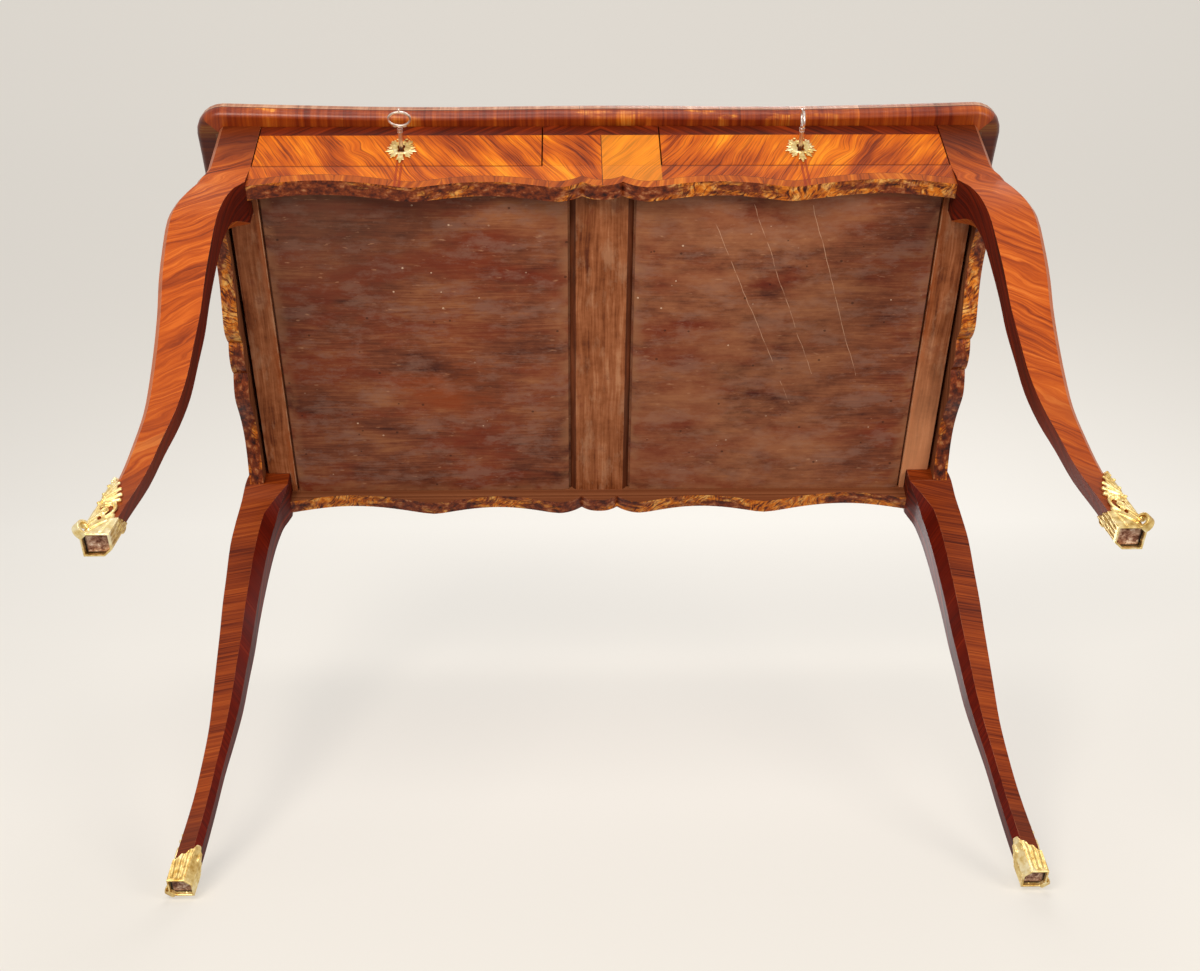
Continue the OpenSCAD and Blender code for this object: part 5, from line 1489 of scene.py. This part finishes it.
# %% [markdown]
# ## Keyhole plates
# Each keyhole has a small bronze plate of pointed leaves. The packed plate has the plain outline. Its
# core round the keyhole is kept, and the leaves are laid in again, each with a fat rib and two side
# lobes. Four small curls stand above, a ring goes round the keyhole, and the whole is cast as one
# skin. A finer voxel than on the shoes keeps the points of the leaves.

# %% Chase the keyhole plates
# Each leaf: angle from straight down in degrees, length and half width in millimetres.
PLATE_LEAVES = ((0, 34, 4.1), (27, 25.5, 3.1), (46, 20, 2.8), (66, 20.5, 3.4), (97, 17.0, 2.8),
                (122, 17.0, 2.5), (144, 21.0, 3.2), (170, 19.0, 2.2))
# Half the width and height of the kept core, and of the ring round the keyhole, in millimetres.
PLATE_CORE = (10.5, 14.5)
PLATE_RING = (7.4, 10.4)
# The keyhole lies this far above the middle of the plate.
PLATE_RISE = 0.003
# Each small curl over the keyhole: how far to the side, how far up, and its radius, all in mm.
TOP_CURLS = ((5.0, 20.8, 1.9), (8.3, 17.2, 1.5))
PLATE_VOXEL = 0.00034
# A round leaf this thick is pressed flat to the thickness of the plate.
LEAF_THICKNESS = 0.0068


def plate_leaf(bm, way, across, start, length, half_width):
    """One pointed leaf in the plane y = 0: a fat middle rib, two side lobes and a sharp tip."""
    rod(bm, [way * (start + length * s) for s in (0, 0.3, 0.65, 1.0)],
        [half_width * r for r in (0.75, 1.0, 0.72, 0.22)])
    for lean in (-1, 1):
        root = way * (start + length * 0.15)
        tip = way * (start + length * 0.72) + across * lean * half_width * 0.95
        rod(bm, [root, (root + tip) / 2, tip], [half_width * r for r in (0.4, 0.5, 0.28)])


def plate_ornament():
    """The leaves, the curls and the ring round the keyhole, in the plane y = 0."""
    bm = bmesh.new()
    for angle, length, half_width in PLATE_LEAVES:
        for side in ((1, -1) if angle else (1,)):
            a = math.radians(angle)
            way = Vector((side * math.sin(a), 0, -math.cos(a)))
            across = Vector((way.z, 0, -way.x))
            start = 0.0095 if angle < 35 or angle > 140 else 0.0075
            plate_leaf(bm, way, across, start, length * MM - start, half_width * MM)
    for side in (-1, 1):
        for out, up, size in TOP_CURLS:
            bead_mm(bm, Vector((side * out * MM, 0, up * MM)), size)
    rim = [Vector((PLATE_RING[0] * MM * math.cos(a), 0, PLATE_RING[1] * MM * math.sin(a) - 0.001))
           for a in ring(12)]
    rod(bm, rim, [1.1 * MM] * 12, closed=True)
    return bm


def chase_plate(node, key_x):
    lo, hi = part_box(node)
    middle = Vector((key_x, (lo.y + hi.y) / 2, (lo.z + hi.z) / 2 + PLATE_RISE))
    leaves = plate_ornament()
    pressed = Matrix.Diagonal((1, (hi.y - lo.y) / LEAF_THICKNESS, 1, 1))
    place = Matrix.Translation(middle + Vector((0, 0.0002, 0)))
    bmesh.ops.transform(leaves, matrix=place @ pressed, verts=leaves.verts)
    cutter = bmesh.new()
    oval_cutter(cutter, middle, *PLATE_CORE, 0.02, 48)
    core = cut_with(merged_copy(node), cutter, "INTERSECT")
    lay_into(core, leaves)
    skin = cast(core, PLATE_VOXEL)
    for v in skin.verts:
        v.co = [min(max(c, low), high) for c, low, high in zip(v.co, lo, hi)]
    return thinned(skin, 0.5)


for side, sign in (("left", -1), ("right", 1)):
    node = side + "_escutcheon"
    stand_in(chase_plate(node, sign * key_side), node, "chased", gilt_finish, 50)

# %% [markdown]
# ## Keys
# The keys are forged from steel rod: an oval bow, a stem with a swelling and two flat collars where it
# meets the bow, and a bit that is inside the lock. The packed key's stem and bit are kept. Its bow is
# cut away and made again as an oval of rod that is a little thicker at the stem and opposite it,
# where a small knob ends it. One key lies flat, the other is half turned and stands upright.

# %% Forge the keys
BOW_LONG, BOW_SHORT, BOW_WIRE = 0.0131, 0.0091, 0.00145
BOW_SWELL = 0.16
# The middle of the bow lies this far behind the front of the key.
BOW_TO_FRONT = 0.015
# All of the packed key that is less far than this behind the middle of the bow is cut away.
BOW_TO_CUT = 0.0095
KEY_VOXEL = 0.00025
KEY_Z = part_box("left_key")[0].z / 2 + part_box("left_key")[1].z / 2
# The stem beside the bow: how far along from the bow's middle, and the radius there.
STEM = ((0.0085, 0.0012), (0.0100, 0.0024), (0.0115, 0.0026), (0.0130, 0.0018))
COLLARS = ((0.0150, 0.0023), (0.0182, 0.0020))


def forge_key(node, upright):
    lo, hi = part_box(node)
    key_x = (lo.x + hi.x) / 2 if upright else math.copysign(key_side, lo.x)
    centre = Vector((key_x, lo.y + BOW_TO_FRONT, KEY_Z))
    along = Vector((0, 1, 0))
    bm = merged_copy(node)
    bmesh.ops.bisect_plane(bm, geom=all_of(bm), dist=1e-6, plane_co=centre + along * BOW_TO_CUT,
                           plane_no=-along, clear_outer=True)
    bmesh.ops.holes_fill(bm, edges=[e for e in bm.edges if e.is_boundary])
    long_way = Vector((0, 0, 1)) if upright else Vector((1, 0, 0))
    bow = [centre + long_way * BOW_LONG * math.cos(a) + along * BOW_SHORT * math.sin(a)
           for a in ring(16)]
    radii = [BOW_WIRE * (1 + BOW_SWELL * abs(math.sin(a)) ** 3) for a in ring(16)]
    rod(bm, bow, radii, closed=True)
    rod(bm, [centre + along * far for far, _ in STEM], [radius for _, radius in STEM])
    for far, size in COLLARS:
        bead(bm, centre + along * far, [size, size * 0.45, size])
    bead(bm, centre - along * (BOW_SHORT + 0.0026), [0.0016, 0.0021, 0.0016])
    return cast(bm, KEY_VOXEL)


for side, upright in (("left", False), ("right", True)):
    node = side + "_key"
    stand_in(forge_key(node, upright), node, "forged", steel_finish, 50)

# %% [markdown]
# ## The size of the table
# Nothing that is added here may make the table bigger than its frame.
